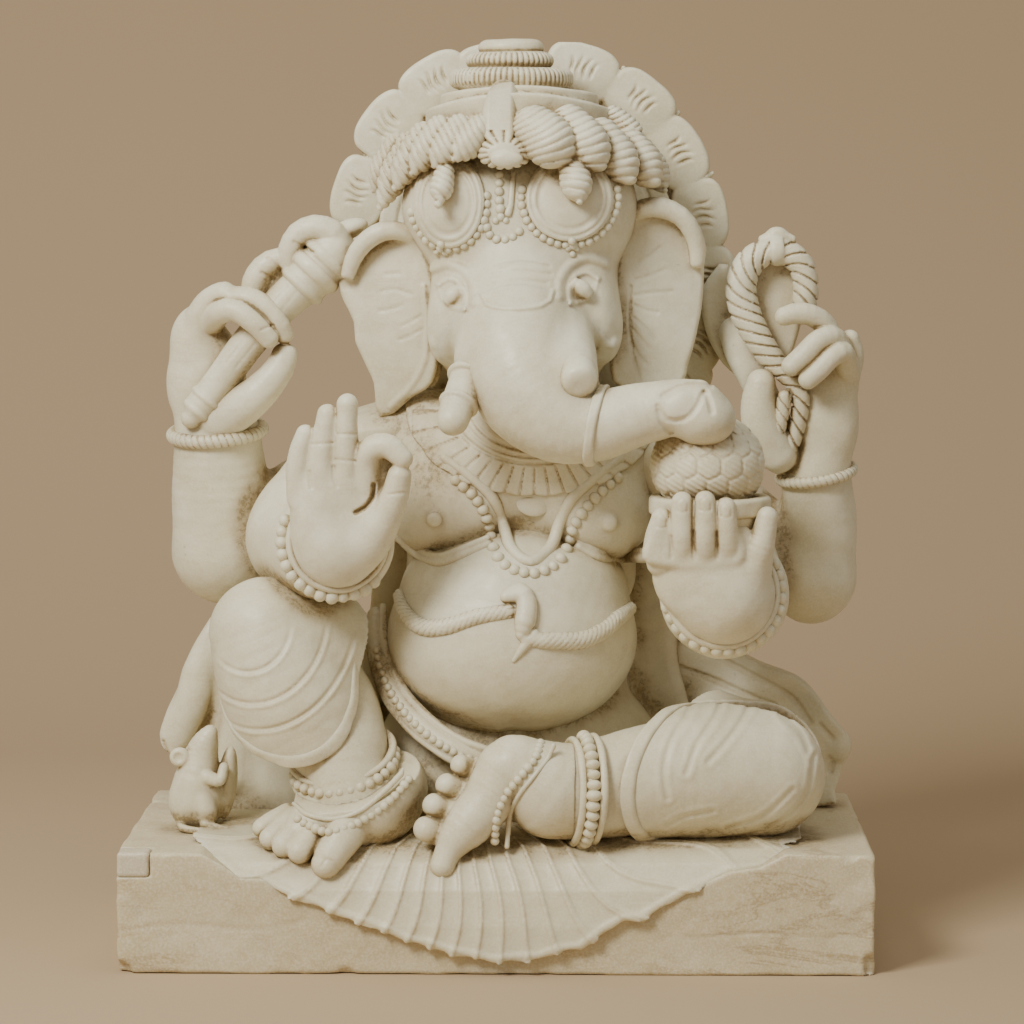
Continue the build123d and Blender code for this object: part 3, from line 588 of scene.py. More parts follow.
back = Form(slab([(-96, 430), (-104, 330), (-112, 230), (-118, 100), (150, 100), (150, 230), (142, 330),
                  (138, 430)], 74, 22, 12))
hips.join(back, 12)
piece("belly", belly)
piece("chest", chest)
piece("hips", hips, 1.8)

torso = Form()
torso.join(belly)
torso.join(chest, 6)

# ------------------------------------------------------------------ head, trunk, tusks and ears

# The trunk's centre line as (x, y, z, radius), from the face to the tip.
TRUNK = [(17, -38, 520, 50), (18, -62, 494, 47), (26, -80, 464, 45), (48, -92, 442, 38), (78, -102, 434, 29),
         (112, -110, 443, 24.5), (142, -114, 449, 22), (158, -116, 450, 21)]
head = Form(ball((20, 20, 590), (88, 74, 78)))
head.add(ball((20, 10, 540), (76, 68, 66)), 20)
head.add(ball((-32, -12, 606), (46, 42, 44)), 20)
head.add(ball((66, -12, 606), (46, 42, 46)), 20)
head.add(ball((20, 4, 492), (70, 58, 46)), 22)
head.add(ball((24, 10, 455), (56, 48, 40)), 20)
head.add(ball((-36, -22, 520), (20, 32, 40), (0, 12, 0)), 16)
head.add(ball((80, -22, 520), (20, 32, 40), (0, -12, 0)), 16)
trunk_form = Form(tube([t[:3] for t in TRUNK], [t[3] for t in TRUNK], 5))
snout = head.copy()
snout.join(trunk_form, 18)
snout.add(tube([(58, -58, 502), (61, -80, 488), (63, -98, 479)], [17, 18.5, 17]), 16)
snout.add(tube([(-4, -52, 500), (-15, -66, 482)], [17, 17.5]), 14)
# eyes, brows, brow mark and cheek bumps
for side, ex, ez in ((-1, -35, 536), (1, 68, 541)):
    snout.cut(ball((ex + side, -74.5 - side, ez), (11, 7.5, 9.5), (0, side * 30, 0)), 9)
    snout.add(ball((ex, -57.5 - side, ez - 1), (9, 6, 6.5), (0, side * 40, 0)), 3)
    lid = [(ex - 9 * side, ez - 12), (ex - 10 * side, ez - 1), (ex - 5 * side, ez + 9),
           (ex + 5 * side, ez + 12), (ex + 13 * side, ez + 7)]
    snout.groove([lid], -1.5, 3.6, (-110, -20))
    snout.groove([[(ex - 9 * side, ez - 12), (ex + side, ez - 11), (ex + 9 * side, ez - 5),
                   (ex + 13 * side, ez + 6)]], -0.9, 3.0, (-110, -20))
    brow_ridge = [(ex - 17 * side, ez - 6), (ex - 17 * side, ez + 6), (ex - 9 * side, ez + 18),
                  (ex + 5 * side, ez + 23), (ex + 20 * side, ez + 18)]
    snout.groove([brow_ridge], -1.7, 5.5, (-110, -20))
mark = [[(-1, 558.5), (20, 561), (41, 558)], [(-3, 552), (20, 554.5), (43, 551.5)],
        [(-2, 545.5), (20, 547), (40, 545)]]
snout.groove(mark, 1.0, 2.8, (-110, -20))
snout.groove([[(-12, 537), (-8, 529), (2, 526.5), (20, 526), (36, 528), (43, 532), (45, 539)]], -1.4, 2.6,
             (-110, -20))
snout.add(ball((-50, -34, 497), (5, 6, 6.5)), 3)
snout.add(ball((92, -40, 496), (5.5, 6, 6)), 3)
# tip of the trunk, curled over the sweets
snout.add(ball((161, -113, 442), (28, 26, 23), (0, 14, 0)), 5)
snout.add(ball((144, -131, 450), (15, 7, 12), (0, -28, 0)), 2)
snout.groove([[(127, 447), (130, 438), (138, 430)], [(131, 459), (144, 466), (158, 468), (168, 466)]], 1.5, 3.4,
             (-150, -80))
snout.groove([[(164, 462), (167, 455), (169, 447)]], 2.2, 3.6, (-165, -100))
snout.groove([[(127, 451), (134, 441), (147, 441), (156, 449), (162, 461)]], 1.7, 3.4, (-165, -105))


def split(form, n, c, side, lo, hi, tuck=1.2):
    """One side of a form, cut by the plane n . p = c, with a small tuck so that the halves meet."""
    size = np.linalg.norm(n)
    n, c = np.array(n, float) / size, c / size
    part = form.copy()
    part.keep(Prim(lambda x, y, z: side * (n[0] * x + n[1] * y + n[2] * z - c) - tuck, lo, hi))
    return part


SPLIT_N, SPLIT_C = (0, -0.78, -0.63), (-0.78 * -52 - 0.63 * 506)
piece("head", split(snout, SPLIT_N, SPLIT_C, 1, (-80, -110, 400), (120, 110, 700)), 1.3)
piece("trunk", split(snout, SPLIT_N, SPLIT_C, -1, (-60, -150, 396), (195, 20, 545)), 1.3)

tb = Form(tube([t[:3] for t in TRUNK], [t[3] + 3.2 for t in TRUNK], 5))
tb_n = np.array([0.97, -0.18, -0.16])
tb.keep(Prim(lambda x, y, z: abs(tb_n[0] * (x - 80) + tb_n[1] * (y + 102) + tb_n[2] * (z - 434)) - 4.2,
             (50, -150, 396), (110, -60, 474)), 3)
piece("trunk_band", tb, 1.1)

tusk_r = Form(tube([(-14, -64, 484), (-24, -84, 462), (-30, -96, 449), (-34, -105, 438)],
                   [17, 15.5, 13.5, 12.5]))
tusk_r.add(ring((-21, -78, 469), (-0.35, -0.65, -0.7), 16, 3.2), 2)
tusk_r.add(ring((-29.5, -95, 450), (-0.3, -0.65, -0.7), 13.4, 2.6), 1.5)
piece("tusk_right", tusk_r, 1.1)
tusk_l = Form(tube([(60, -84, 488), (64, -108, 477), (65.5, -121, 471.5)], [14, 14.6, 14.4]))
tusk_l.keep(half_space((0.08, -0.92, -0.38), 0.08 * 65.5 + 0.92 * 130 - 0.38 * 468, (40, -142, 450),
                       (90, -70, 505)), 4)
tusk_l.groove([[(48, 482), (55, 489), (65, 491), (76, 487), (81, 480)]], 1.6, 2.4, (-112, -90))
piece("tusk_left", tusk_l, 1.1)

ear_r = Form(slab([(-64, 578), (-84, 586), (-106, 580), (-122, 560), (-131, 543), (-126, 527), (-118, 511),
                   (-117, 495), (-108, 475), (-102, 461), (-100.5, 441), (-97, 432), (-86, 436), (-70, 450),
                   (-54, 462), (-46, 500), (-52, 545)],
                  lambda x, z: -4 - 0.22 * (x + 95) + 0.0016 * (z - 520) ** 2 * 0.6, 6.5, 4))
ear_r.add(ball((-55, 5, 505), (12, 10, 48)), 8)
ear_r.add(tube([(-62, -8, 574), (-76, -14, 584), (-93, -16, 585), (-109, -14, 575), (-118, -12, 562),
                (-122, -10, 550)], [6.5, 7.5, 8, 7.5, 7, 6]), 5)
ear_r.cut(ball((-125, -14, 540), (9, 12, 7)), 2)
ear_r.groove([[(-95, 536), (-84, 538), (-70, 534)], [(-97, 520), (-86, 522), (-78, 525)],
              [(-79, 508), (-70, 512), (-62, 517)], [(-80, 497), (-70, 501), (-61, 506)],
              [(-92, 550), (-80, 551)]], 0.8, 2.4, (-60, 20))
ear_r.groove([[(-60, 540), (-57, 510), (-60, 480), (-72, 458), (-88, 442)]], -1.6, 4, (-60, 20))
piece("ear_right", ear_r)
ear_l = Form(slab([(104, 594), (124, 604), (146, 598), (162, 578), (168, 556), (166, 522), (161, 495),
                   (155, 476), (151, 462), (131, 457), (110, 458), (94, 462), (90, 500), (95, 550)],
                  lambda x, z: 2 + 0.16 * (x - 130), 7, 4))
ear_l.add(tube([(106, -6, 596), (118, -10, 603), (133, -11, 604), (148, -10, 597), (158, -8, 584),
                (162, -6, 570), (162, -6, 560)], [7, 8, 8.5, 8, 7.5, 7, 6]), 5)
ear_l.cut(ball((162, -10, 550), (9, 10, 5)), 2)
ear_l.groove([[(111, 533), (124, 535), (142, 536)], [(111, 525), (120, 521), (130, 519)],
              [(110, 515), (118, 508), (128, 497)], [(110, 505), (116, 498), (124, 489)],
              [(113, 546), (124, 549), (136, 554)], [(114, 560), (126, 567), (132, 572)],
              [(109, 495), (114, 485), (122, 476)]], 0.8, 2.4, (-60, 20))
ear_l.groove([[(108, 540), (107, 510), (110, 485), (116, 462)]], 1.2, 2.4, (-60, 20))
piece("ear_left", ear_l)

# ------------------------------------------------------------------ crown and hair

CROWN_Y = 22


def crown_wall(x, y, z, rx, ry, low, high, sag):
    """Oval band round the head, its ends sagging away from the middle."""
    q = z + sag * ((x - 17) / 74) ** 2
    rad = (np.hypot((x - 17) / rx, (y - 18) / ry) - 1) * 0.9 * ry
    w = abs(q - (low + high) / 2) - (high - low) / 2
    return rounded(rad, w, 2.0)


band = Form(Prim(lambda x, y, z: crown_wall(x, y, z, 74, 62, 678, 694, 12), (-62, -48, 660), (96, 84, 700)))
band.add(Prim(lambda x, y, z: crown_wall(x, y, z, 62, 50, 690, 700, 8), (-50, -36, 676), (84, 72, 704)), 1)
band.add(Prim(lambda x, y, z: crown_wall(x, y, z, 84, 66, 664, 678, 14), (-74, -54, 646), (108, 90, 682)), 2)
piece("crown_band", band)


tiers = Form()
for cx, rx, ry, z0, z1, n in ((10, 51, 42, 700, 717, 66), (9, 36, 30, 716, 730, 46),
                              (10, 27, 22, 727, 740.5, 0)):
    lo, hi = (cx - rx - 4, CROWN_Y - ry - 4, z0), (cx + rx + 4, CROWN_Y + ry + 4, z1)
    mid, half = (z0 + z1) / 2, (z1 - z0) / 2

    def disc(x, y, z, cx=cx, rx=rx, ry=ry, mid=mid, half=half):
        rad = (np.hypot((x - cx) / rx, (y - CROWN_Y) / ry) - 1) * min(rx, ry) + 7
        w = abs(z - mid) - half + 7
        return rounded(rad, w, 7)

    tiers.add(Prim(disc, lo, hi), 0.5)
    if n:

        def flutes(x, y, z, cx=cx, n=n):
            around = np.arctan2(y - CROWN_Y, (x - cx) * 0.82)
            return 2.0 * (1 - abs(np.sin(around * n / 2))) ** 2

        tiers.carve(flutes, (cx - rx - 6, -40, z0 + 2), (cx + rx + 6, 90, z1 - 0.5))
tiers.add(ball((12, 20, 700), (44, 38, 10)), 3)
piece("crown_rings", tiers, 1.2)

strap = Form(tube([(5, -8, 696), (4, -34, 693), (1, -51, 676), (2, -60, 656)], [11.5, 12.5, 13.5, 13], 5,
                  (1, 0.55, 1)))
strap.carve(lambda x, y, z: 1.6 * hump((x - 2 - 0.02 * (z - 676)) / 8.5) ** 0.5, (-8, -80, 660), (12, -20, 712))
strap.add(ball((6, -60, 648), (22, 10, 13.5)), 1.5)


def rosette(x, y, z):
    """Flutes round the rim of the flower under the strap."""
    around = np.arctan2((z - 648) * 1.5, x - 6)
    rim = np.hypot((x - 6) / 21, (z - 648) / 13) > 0.62
    return 2.0 * (1 - abs(np.sin(around * 8))) ** 2 * rim


strap.carve(rosette, (-20, -80, 630), (32, -44, 666))
strap.add(ball((8, -69, 643), (13, 5, 7)), 1)
piece("crown_strap", strap, 1.1)


def curl(a, b, r, ribs=8, tip=4.5):
    """Shell-like lock of hair from its broad end a to its tip b, ringed by slanting ridges."""
    a, b = np.array(a, float), np.array(b, float)
    axis = (b - a) / np.linalg.norm(b - a)
    length = np.linalg.norm(b - a)
    form = Form(tube([a, a + 0.55 * (b - a), b - axis * 4], [r * 0.86, r, r * 0.5], 4))
    form.add(ball(b + axis * 1.5, (tip, tip, tip)), 1.5)
    slant = np.array([axis[2], 0, -axis[0]])

    def ridges(x, y, z):
        s = (x - a[0]) * axis[0] + (y - a[1]) * axis[1] + (z - a[2]) * axis[2]
        q = (x - a[0]) * slant[0] + (z - a[2]) * slant[2]
        phase = (s + 0.45 * q + 0.022 * q * q) / (length + r) * ribs
        return 1.15 * hump(((phase % 1.0) - 0.5) / 0.28) - 0.3

    lo = np.minimum(a, b) - r - 3
    hi = np.maximum(a, b) + r + 3
    form.carve(ridges, lo, hi)
    return form


# Each lock's broad end, tip, radius, ridges and tip radius.
LOCKS = [((-14, -52, 667), (-32, -61, 645), 12.5, 7, 3.6), ((-30, -48, 668), (-49, -56, 639), 13, 8, 3.6),
         ((-46, -40, 667), (-66, -46, 634), 13, 8, 3.6), ((-60, -30, 662), (-81, -34, 622), 13, 8, 3.6),
         ((-72, -18, 655), (-94, -20, 606), 12.5, 9, 3.6), ((-82, 0, 654), (-100, 2, 620), 13, 8, 3.5),
         ((30, -54, 668), (54, -66, 646), 20.5, 9, 5.4), ((58, -44, 670), (82, -57, 640), 19, 9, 5.0),
         ((84, -28, 662), (106, -42, 628), 17, 9, 4.6), ((104, -4, 656), (126, -22, 626), 16.5, 9, 4.6),
         ((94, 4, 676), (116, 0, 654), 12, 9, 3.5), ((116, 24, 650), (134, 14, 620), 14, 10, 3.5),
         ((-84, 22, 650), (-98, 18, 618), 14, 10, 3.5)]
hair = Form()
for a, b, r, ribs, tip in LOCKS:
    hair.join(curl(a, b, r, ribs, tip), 0.6)
for a, b, r in (((-42, -56, 632), (-46, -68, 609), 9.5), ((60, -58, 636), (66, -70, 612), 12.5)):
    hair.join(curl(a, b, r, 6, 3.5), 0.6)
piece("hair_curls", hair, 1.2)

# brow discs with rims, the central cords and their beads
brow = Form()
for cx, cz, rx, rz in ((58, 612, 29, 29), (-39, 609, 23, 31)):

    def shield(x, y, z, cx=cx, cz=cz, rx=rx, rz=rz):
        e = (np.hypot((x - cx) / (rx + 6), (z - cz) / (rz + 6)) - 1) * (rx + rz + 12) / 2
        return np.maximum(np.maximum(snout.at(x, y, z) - 2.8, e), y + 6)

    brow.add(Prim(shield, (cx - rx - 6, -84, cz - rz - 6), (cx + rx + 6, -6, cz + rz + 6)), 0.5)

    def rims(x, y, z, cx=cx, cz=cz, rx=rx, rz=rz):
        q = (rx + rz) / 2
        e = np.hypot((x - cx) / rx, (z - cz) / rz) * q
        return -0.9 * hump((e - q + 1) / 2.4) - 0.9 * hump((e - q - 3.6) / 2.2) + 0.7 * hump((e - q + 5) / 3)

    brow.carve(rims, (cx - rx - 10, -100, cz - rz - 10), (cx + rx + 10, -10, 640))
face = Form()
face.join(snout)
face.join(brow, 1)
drop = drop_to(snout, [(13, -60, 634), (12, -60, 620), (11, -60, 606), (9, -60, 600)])
brow.add(tube(drop, [2.6, 2.6, 2.6, 3.2]), 1)
piece("brow_ornaments", brow, 1.1)
bead_lines = []
for cx, cz, rx, rz, a0, a1 in ((58, 612, 38.5, 37.5, 165, 375), (-39, 609, 31, 37.5, 188, 372)):
    a = np.radians(np.linspace(a0, a1, 40))
    bead_lines.append((np.stack([cx + rx * np.cos(a), -60 + 0 * a, cz + rz * np.sin(a)], 1), 6.4))
bead_lines.append((np.array([(2, -60, 634), (1.5, -60, 622), (2, -60, 610), (3, -60, 600)], float), 6.8))
bead_lines.append((np.array([(-9, -60, 592), (-6, -60, 583), (3, -60, 578.5), (13, -60, 581), (20, -60, 588)],
                            float), 6.6))
brow_beads = []
for line, pitch in bead_lines:
    brow_beads.append(drop_to(face, along(line, pitch), 0.9))
beads("brow_beads", np.vstack(brow_beads), 4.0, "brow_ornaments")
trefoil = drop_to(face, [(60, -60, 578), (56.5, -60, 572), (63.5, -60, 572), (60, -60, 567), (-45, -60, 575),
                         (-48.5, -60, 569), (-41.5, -60, 569), (3, -60, 597), (-1, -60, 594), (7, -60, 594)],
                  0.5)
beads("brow_drops", trefoil, 3.2, "brow_ornaments")

# ------------------------------------------------------------------ halo

HALO = (22.0, 577.0)  # centre, as (x, z)
HALO_ROOM = block((-160, 60, 400), (HIGH[0] - BASE[0], 100, HIGH[2] - BASE[2] - 0.5), 1)


def halo_arc(radius, first, last, step, shift=0):
    """Points round the halo's centre, by angle in degrees."""
    angles = [math.radians(a) for a in range(first, last, step)]
    return [(HALO[0] + shift + radius * math.cos(a), HALO[1] + radius * math.sin(a)) for a in angles]


disc = Form(slab(halo_arc(124, -10, 191, 8) + [(-102, 520), (-98, 440), (-92, 380), (140, 380), (148, 440),
                                               (150, 520)], 83, 13, 3, smooth=False))
disc.add(slab(halo_arc(149, -44, 181, 8, 3)
              + [(-128, 520), (-98, 440), (-92, 380), (140, 380)], 88, 7.5, 3, smooth=False), 0.5)
disc.keep(block((-160, 60, 370), (HIGH[0] - BASE[0], 98, HIGH[2] - BASE[2] - 3), 1))
disc.groove([halo_arc(108, -5, 186, 6)], 2.0, 3.0, (60, 90))
piece("halo_disc", disc, 1.8)

# Each petal's x, z and angle in degrees.
PETALS = [(-117, 616, 164), (-93, 670, 140.5), (-53, 706, 119.5), (-6, 717, 98), (68, 716, 72.5),
          (116, 690, 50.5), (147, 648, 30), (167, 597, 8.5), (172, 543, -8), (166, 492, -26), (148, 458, -50)]
petals = Form()
for px, pz, deg in PETALS:
    ca, sa = math.cos(math.radians(deg)), math.sin(math.radians(deg))

    def petal(x, y, z, px=px, pz=pz, ca=ca, sa=sa):
        u = (x - px) * ca + (z - pz) * sa
        v = -(x - px) * sa + (z - pz) * ca
        d2 = ((abs(u / 23.5) ** 3.2 + abs(v / 31) ** 2.6) ** 0.36 - 1) * 22 + 4
        w = abs(y - 84) - 9 + 4 - 2.2 * np.clip(-d2 / 14, 0, 1)
        d = rounded(d2, w, 4)
        lines = np.zeros_like(u)
        for i, v0 in enumerate((-8.5, -2.8, 2.8, 8.5)):
            wave = v0 + 1.8 * np.sin(u / 4.2 + 0.9 * i) + 0.05 * v0 * u
            lines = np.maximum(lines, hump((v - wave) / 2.1) * hump((u - 3) / (12.5 - 0.5 * abs(v0))) ** 0.5)
        return d + np.where(y < 80, 2.0 * lines, 0)

    petals.add(Prim(petal, (px - 34, 68, pz - 34), (px + 34, 98, pz + 34)), 0.6)
petals.keep(HALO_ROOM)
piece("halo_petals", petals, 1.3)

buds = Form()
ends = [(-138, 586, 180)] + [((a[0] + b[0]) / 2, (a[1] + b[1]) / 2, (a[2] + b[2]) / 2) for a,
                             b in zip(PETALS, PETALS[1:])]
for bx, bz, deg in ends:
    ca, sa = math.cos(math.radians(deg)), math.sin(math.radians(deg))
    if bz > 712 and -6 < bx < 60:
        continue
    cx, cz = HALO[0] + 5 + 149 * ca, HALO[1] + 2 + 149 * sa
    if deg < 0 or deg > 170:
        cx, cz = bx + 14 * ca, bz + 14 * sa
    buds.add(tube([(cx - 4 * ca, 82, cz - 4 * sa), (cx + 3 * ca, 82, cz + 3 * sa),
                   (cx + 10 * ca, 82, cz + 10 * sa)], [7, 5.5, 2.2], 4), 1)
buds.keep(HALO_ROOM)
piece("halo_buds", buds, 1.3)

# ------------------------------------------------------------------ raised right leg

# The hem's plane, as a normal and a constant.
HEM_R = (0.265, 0.78, -0.565)
HEM_RC = -210.8
calf = Form(tube([(-166, -36, 236), (-143, -40, 200), (-130, -56, 170), (-124, -68, 150), (-118, -72, 128)],
                 [40, 44, 41, 37, 39]))
foot_r = calf.copy()
foot_r.add(ball((-108, -78, 126), (45, 42, 38), (0, 0, 20)), 12)
foot_r.add(ball((-136, -90, 113), (42, 25, 20), (0, -8, 36)), 12)
foot_r.add(ball((-84, -70, 140), (28, 34, 30)), 14)
foot_r.add(tube([(-120, -76, 146), (-131, -88, 128), (-140, -97, 114)], [34, 28, 19], 5, (1.1, 0.9, 0.9)), 8)
for pts, rr in (([(-112, -100, 118), (-122, -118, 106), (-131, -129, 93), (-134, -131, 88)],
                 [16, 15.5, 13.5, 12]), ([(-138, -100, 116), (-148, -116, 106), (-155, -127, 97)],
                                         [11, 11, 10]),
                ([(-151, -97, 116), (-161, -112, 107), (-168, -121, 100)], [10, 10, 9.4]),
                ([(-161, -92, 117), (-172, -105, 109), (-180, -112, 104)], [9.5, 9.5, 8.8]),
                ([(-168, -86, 119), (-181, -96, 113), (-187, -100, 110)], [9, 8.8, 8])):
    foot_r.add(tube(pts, rr, 4), 1.2)
foot_r.groove([[(-137, 88), (-133, 94), (-128, 92)]], 0.8, 1.6, (-150, -120))
foot_r.keep(Prim(lambda x, y, z: -5 - cloth_profile(x, y, z), (-215, -145, 76), (-50, 0, 400)))
cloth_r = Form(tube([(-188, -54, 262), (-178, -54, 238), (-164, -54, 208), (-150, -56, 182)], [45, 52, 56, 50],
                    8))
cloth_r.add(ball((-146, -28, 240), (32, 42, 50), (0, 20, 0)), 22)
thigh_r = Form(tube([(-30, 40, 190), (-100, 10, 222), (-160, -20, 246)], [62, 58, 46]))
leg_cloth = cloth_r.copy()
leg_cloth.join(thigh_r, 22)


def folds_r(x, y, z):
    dx, dz = x + 202, z - 272
    r = np.hypot(dx, dz)
    a = np.degrees(np.arctan2(dz, dx))
    out = np.zeros_like(r)
    for rad, grow, a0, a1 in ((36, 0.10, -118, -10), (62, 0.18, -112, -6), (84, 0.22, -96, -12)):
        rr = rad + grow * (a + 60) * 0.25
        on = hump((a - (a0 + a1) / 2) / ((a1 - a0) / 2 + 12)) ** 0.4
        out = out + on * (1.5 * hump((r - rr) / 2.6) - 1.0 * hump((r - rr - 3.6) / 2.6))
    return out


leg_cloth.carve(folds_r, (-250, -140, 150), (-90, -10, 330))
leg_r_lo, leg_r_hi = np.array([-240, -130, 96.0]), np.array([60, 110, 312.0])
shin_cloth = split(leg_cloth, HEM_R, HEM_RC, 1, leg_r_lo, leg_r_hi, 0)
knee_side = split(shin_cloth, (1, 0.9, -0.1), -168, 1, (-240, -130, 140), (-80, 60, 312), 1.0)
thigh_side = split(shin_cloth, (1, 0.9, -0.1), -168, -1, (-210, -90, 96), (40, 110, 312), 1.0)
under = calf.copy()
under.keep(half_space((0.19, 0.45, -1), -0.19 * 124 - 0.45 * 68 - 149, (-240, -130, 120), (-60, 60, 312)))
knee_side.join(under, 0)
piece("raised_shin", knee_side)
piece("raised_thigh", thigh_side, 1.8)
foot_cut = foot_r.copy()
foot_cut.keep(half_space((-0.19, -0.45, 1), 0.19 * 124 + 0.45 * 68 + 150, (-215, -145, 76), (-50, 10, 175)))
piece("raised_foot", foot_cut, 1.3)
hem_r = Form(tube([(-188, -54, 262), (-178, -54, 238), (-164, -54, 208), (-150, -56, 182)],
                  [46.6, 53.6, 57.6, 51.6], 8))
hem_r.add(ball((-146, -28, 240), (34, 44, 52), (0, 20, 0)), 22)
hn = np.array(HEM_R) / np.linalg.norm(HEM_R)
hem_r.keep(Prim(lambda x, y, z: abs(hn[0] * x + hn[1] * y + hn[2] * z - HEM_RC + 4) - 4.6, (-235, -125, 140),
                (-85, 20, 290)), 2.5)
piece("raised_hem", hem_r, 1.3)

up_n = (-0.19, -0.45, 1)
anklet = Form(ring((-122.5, -67, 149), up_n, 40.5, 4.0))
anklet.add(ring((-125, -64, 164), up_n, 41.5, 3.2))
cord_line = drop_to(foot_r, [(-162, -120, 129), (-150, -120, 124), (-130, -120, 121), (-108, -120, 128),
                             (-88, -120, 143), (-72, -120, 158)], 0.2)
anklet.add(tube(cord_line, 2.3, 5))
anklet.keep(block((-200, -140, 100), (-74, -20, 220), 1))
piece("ankle_cords", anklet, 1.2, "raised_anklets")
ankle_pts = loop_points((-123.5, -67, 157), up_n, 41.5, 180, 372, 60, (0, 1, 0))
low_line = drop_to(foot_r, [(-160, -120, 121), (-148, -120, 116), (-130, -120, 113), (-106, -120, 120),
                            (-84, -120, 135), (-68, -120, 151)], 0.2)
beads("ankle_beads", along(ankle_pts, 8.2), 5.0, "raised_anklets", (0.95, 1.0))
beads("foot_beads", along(low_line, 6.4), 3.9, "raised_anklets")

# ------------------------------------------------------------------ folded left leg

# The hem's plane, as a normal and a constant.
HEM_L, HEM_LC = (0.842, -0.535, -0.062), 142.5
shank = Form(tube([(170, -66, 150), (128, -76, 148), (96, -84, 143), (66, -90, 139), (46, -96, 140)],
                  [44, 43.5, 41, 39, 37]))
foot_l = shank.copy()
foot_l.add(tube([(42, -98, 142), (14, -104, 160), (3, -107, 150), (-7, -111, 134), (-20, -117, 119),
                 (-31, -121, 107)], [35, 26.5, 23, 20.5, 19, 14], 5), 10)
foot_l.add(tube([(-29, -120, 110), (-38, -125, 96), (-42, -128, 86)], [13, 11, 10], 4), 4)
for c, r in (((-55, -117, 113), 10.5), ((-49, -111, 131), 9.6), ((-39, -105, 146.5), 9.2),
             ((-28, -99, 161.5), 8.6)):
    foot_l.add(ball(c, (r, r + 1, r)), 1.2)
    foot_l.add(tube([(c[0] + 7, c[1] + 3, c[2] - 3), (c[0] + 24, c[1] + 6, c[2] - 9)], [r * 0.95, r * 1.1]), 4)
knee_l = Form(tube([(112, -78, 148), (140, -74, 151), (170, -68, 152), (213, -60, 150)], [50, 52, 54, 53], 10))
thigh_l = Form(tube([(60, 30, 162), (130, 6, 160), (205, -30, 154)], [60, 58, 48]))
knee_l.join(thigh_l, 20)
knee_l.keep(half_space((0, 0, -1), -96, (20, -130, 96), (275, 100, 230)))


LEG_FOLDS = [[(158, 208), (139, 184), (133, 160), (136, 140)], [(180, 206), (160, 182), (151, 160)],
             [(206, 208), (186, 186), (168, 168)], [(150, 96), (178, 99), (218, 112), (247, 138), (254, 168)],
             [(184, 112), (212, 122), (236, 144)], [(228, 200), (243, 186), (250, 172)],
             [(136, 116), (150, 124), (172, 128)]]


def folds_l(x, y, z):
    out = np.zeros_like(x)
    for line in LEG_FOLDS:
        out = out + 0.8 * hump(trail(line, x, z) / 3.0) - 0.5 * hump((trail(line, x, z) - 4.5) / 3.4)
    return out * np.clip((-30 - y) / 26, 0, 1)


knee_l.carve(folds_l, (100, -150, 90), (290, -20, 215))
leg_l = split(knee_l, HEM_L, HEM_LC, -1, (60, -132, 90), (275, 100, 226), 0)
shin_l = split(leg_l, (0.25, 1, 0.25), 34, 1, (60, -132, 90), (275, 20, 226), 1)
thigh_part = split(leg_l, (0.25, 1, 0.25), 34, -1, (20, -40, 90), (275, 100, 226), 1)
inner = split(shank, (1, 0, 0), 62, -1, (58, -142, 90), (210, 0, 210), 0.5)
shin_l.join(inner, 0)
piece("folded_shin", shin_l)
piece("folded_thigh", thigh_part, 1.8)
foot_part = split(foot_l, (1, 0, 0), 62, 1, (-70, -145, 76), (64, -40, 200), 1.0)
piece("folded_foot", foot_part, 1.3)
hem_l = Form(tube([(112, -78, 148), (140, -74, 151), (170, -68, 152)], [52.6, 54.6, 56.6], 10))
hl = np.array(HEM_L) / np.linalg.norm(HEM_L)
hem_l.keep(Prim(lambda x, y, z: abs(hl[0] * x + hl[1] * y + hl[2] * z - HEM_LC - 5) - 5.4, (85, -135, 92),
                (175, -10, 215)), 2.5)
piece("folded_hem", hem_l, 1.3)

ANKLET_N = (1, 0.22, -0.05)
rims = Form(ring((60.5, -93, 139), ANKLET_N, 41.5, 3.0))
rims.add(ring((77, -92, 141), ANKLET_N, 42.5, 3.0))
rims.add(ring((68.5, -93, 140), ANKLET_N, 39, 4.5))
strap_line = drop_to(foot_l, [(46, -120, 181), (42, -120, 172), (30, -120, 158), (18, -120, 142),
                              (11, -120, 124), (9, -120, 100)], -0.6)
rims.add(tube(strap_line, 2.1, 5))
strap_low = drop_to(foot_l, [(36, -120, 182), (31, -120, 171), (20, -120, 158), (8, -120, 142), (1, -120, 124),
                             (-1, -120, 102)], -0.6)
rims.keep(half_space((0, 0, -1), -92, (-20, -145, 88), (110, -60, 200)))
piece("anklet_rims", rims, 1.2, "folded_anklets")
big = loop_points((68.5, -93, 140), ANKLET_N, 42.5, -60, 240, 60, (0, -1, 0))
big = np.array([q for q in big if q[1] < -84])
beads("anklet_beads", along(big, 8.2), 5.4, "folded_anklets", (0.8, 1.08))
beads("strap_beads", along(strap_low, 6.2), 3.7, "folded_anklets")

# ------------------------------------------------------------------ shawl ends and hip band

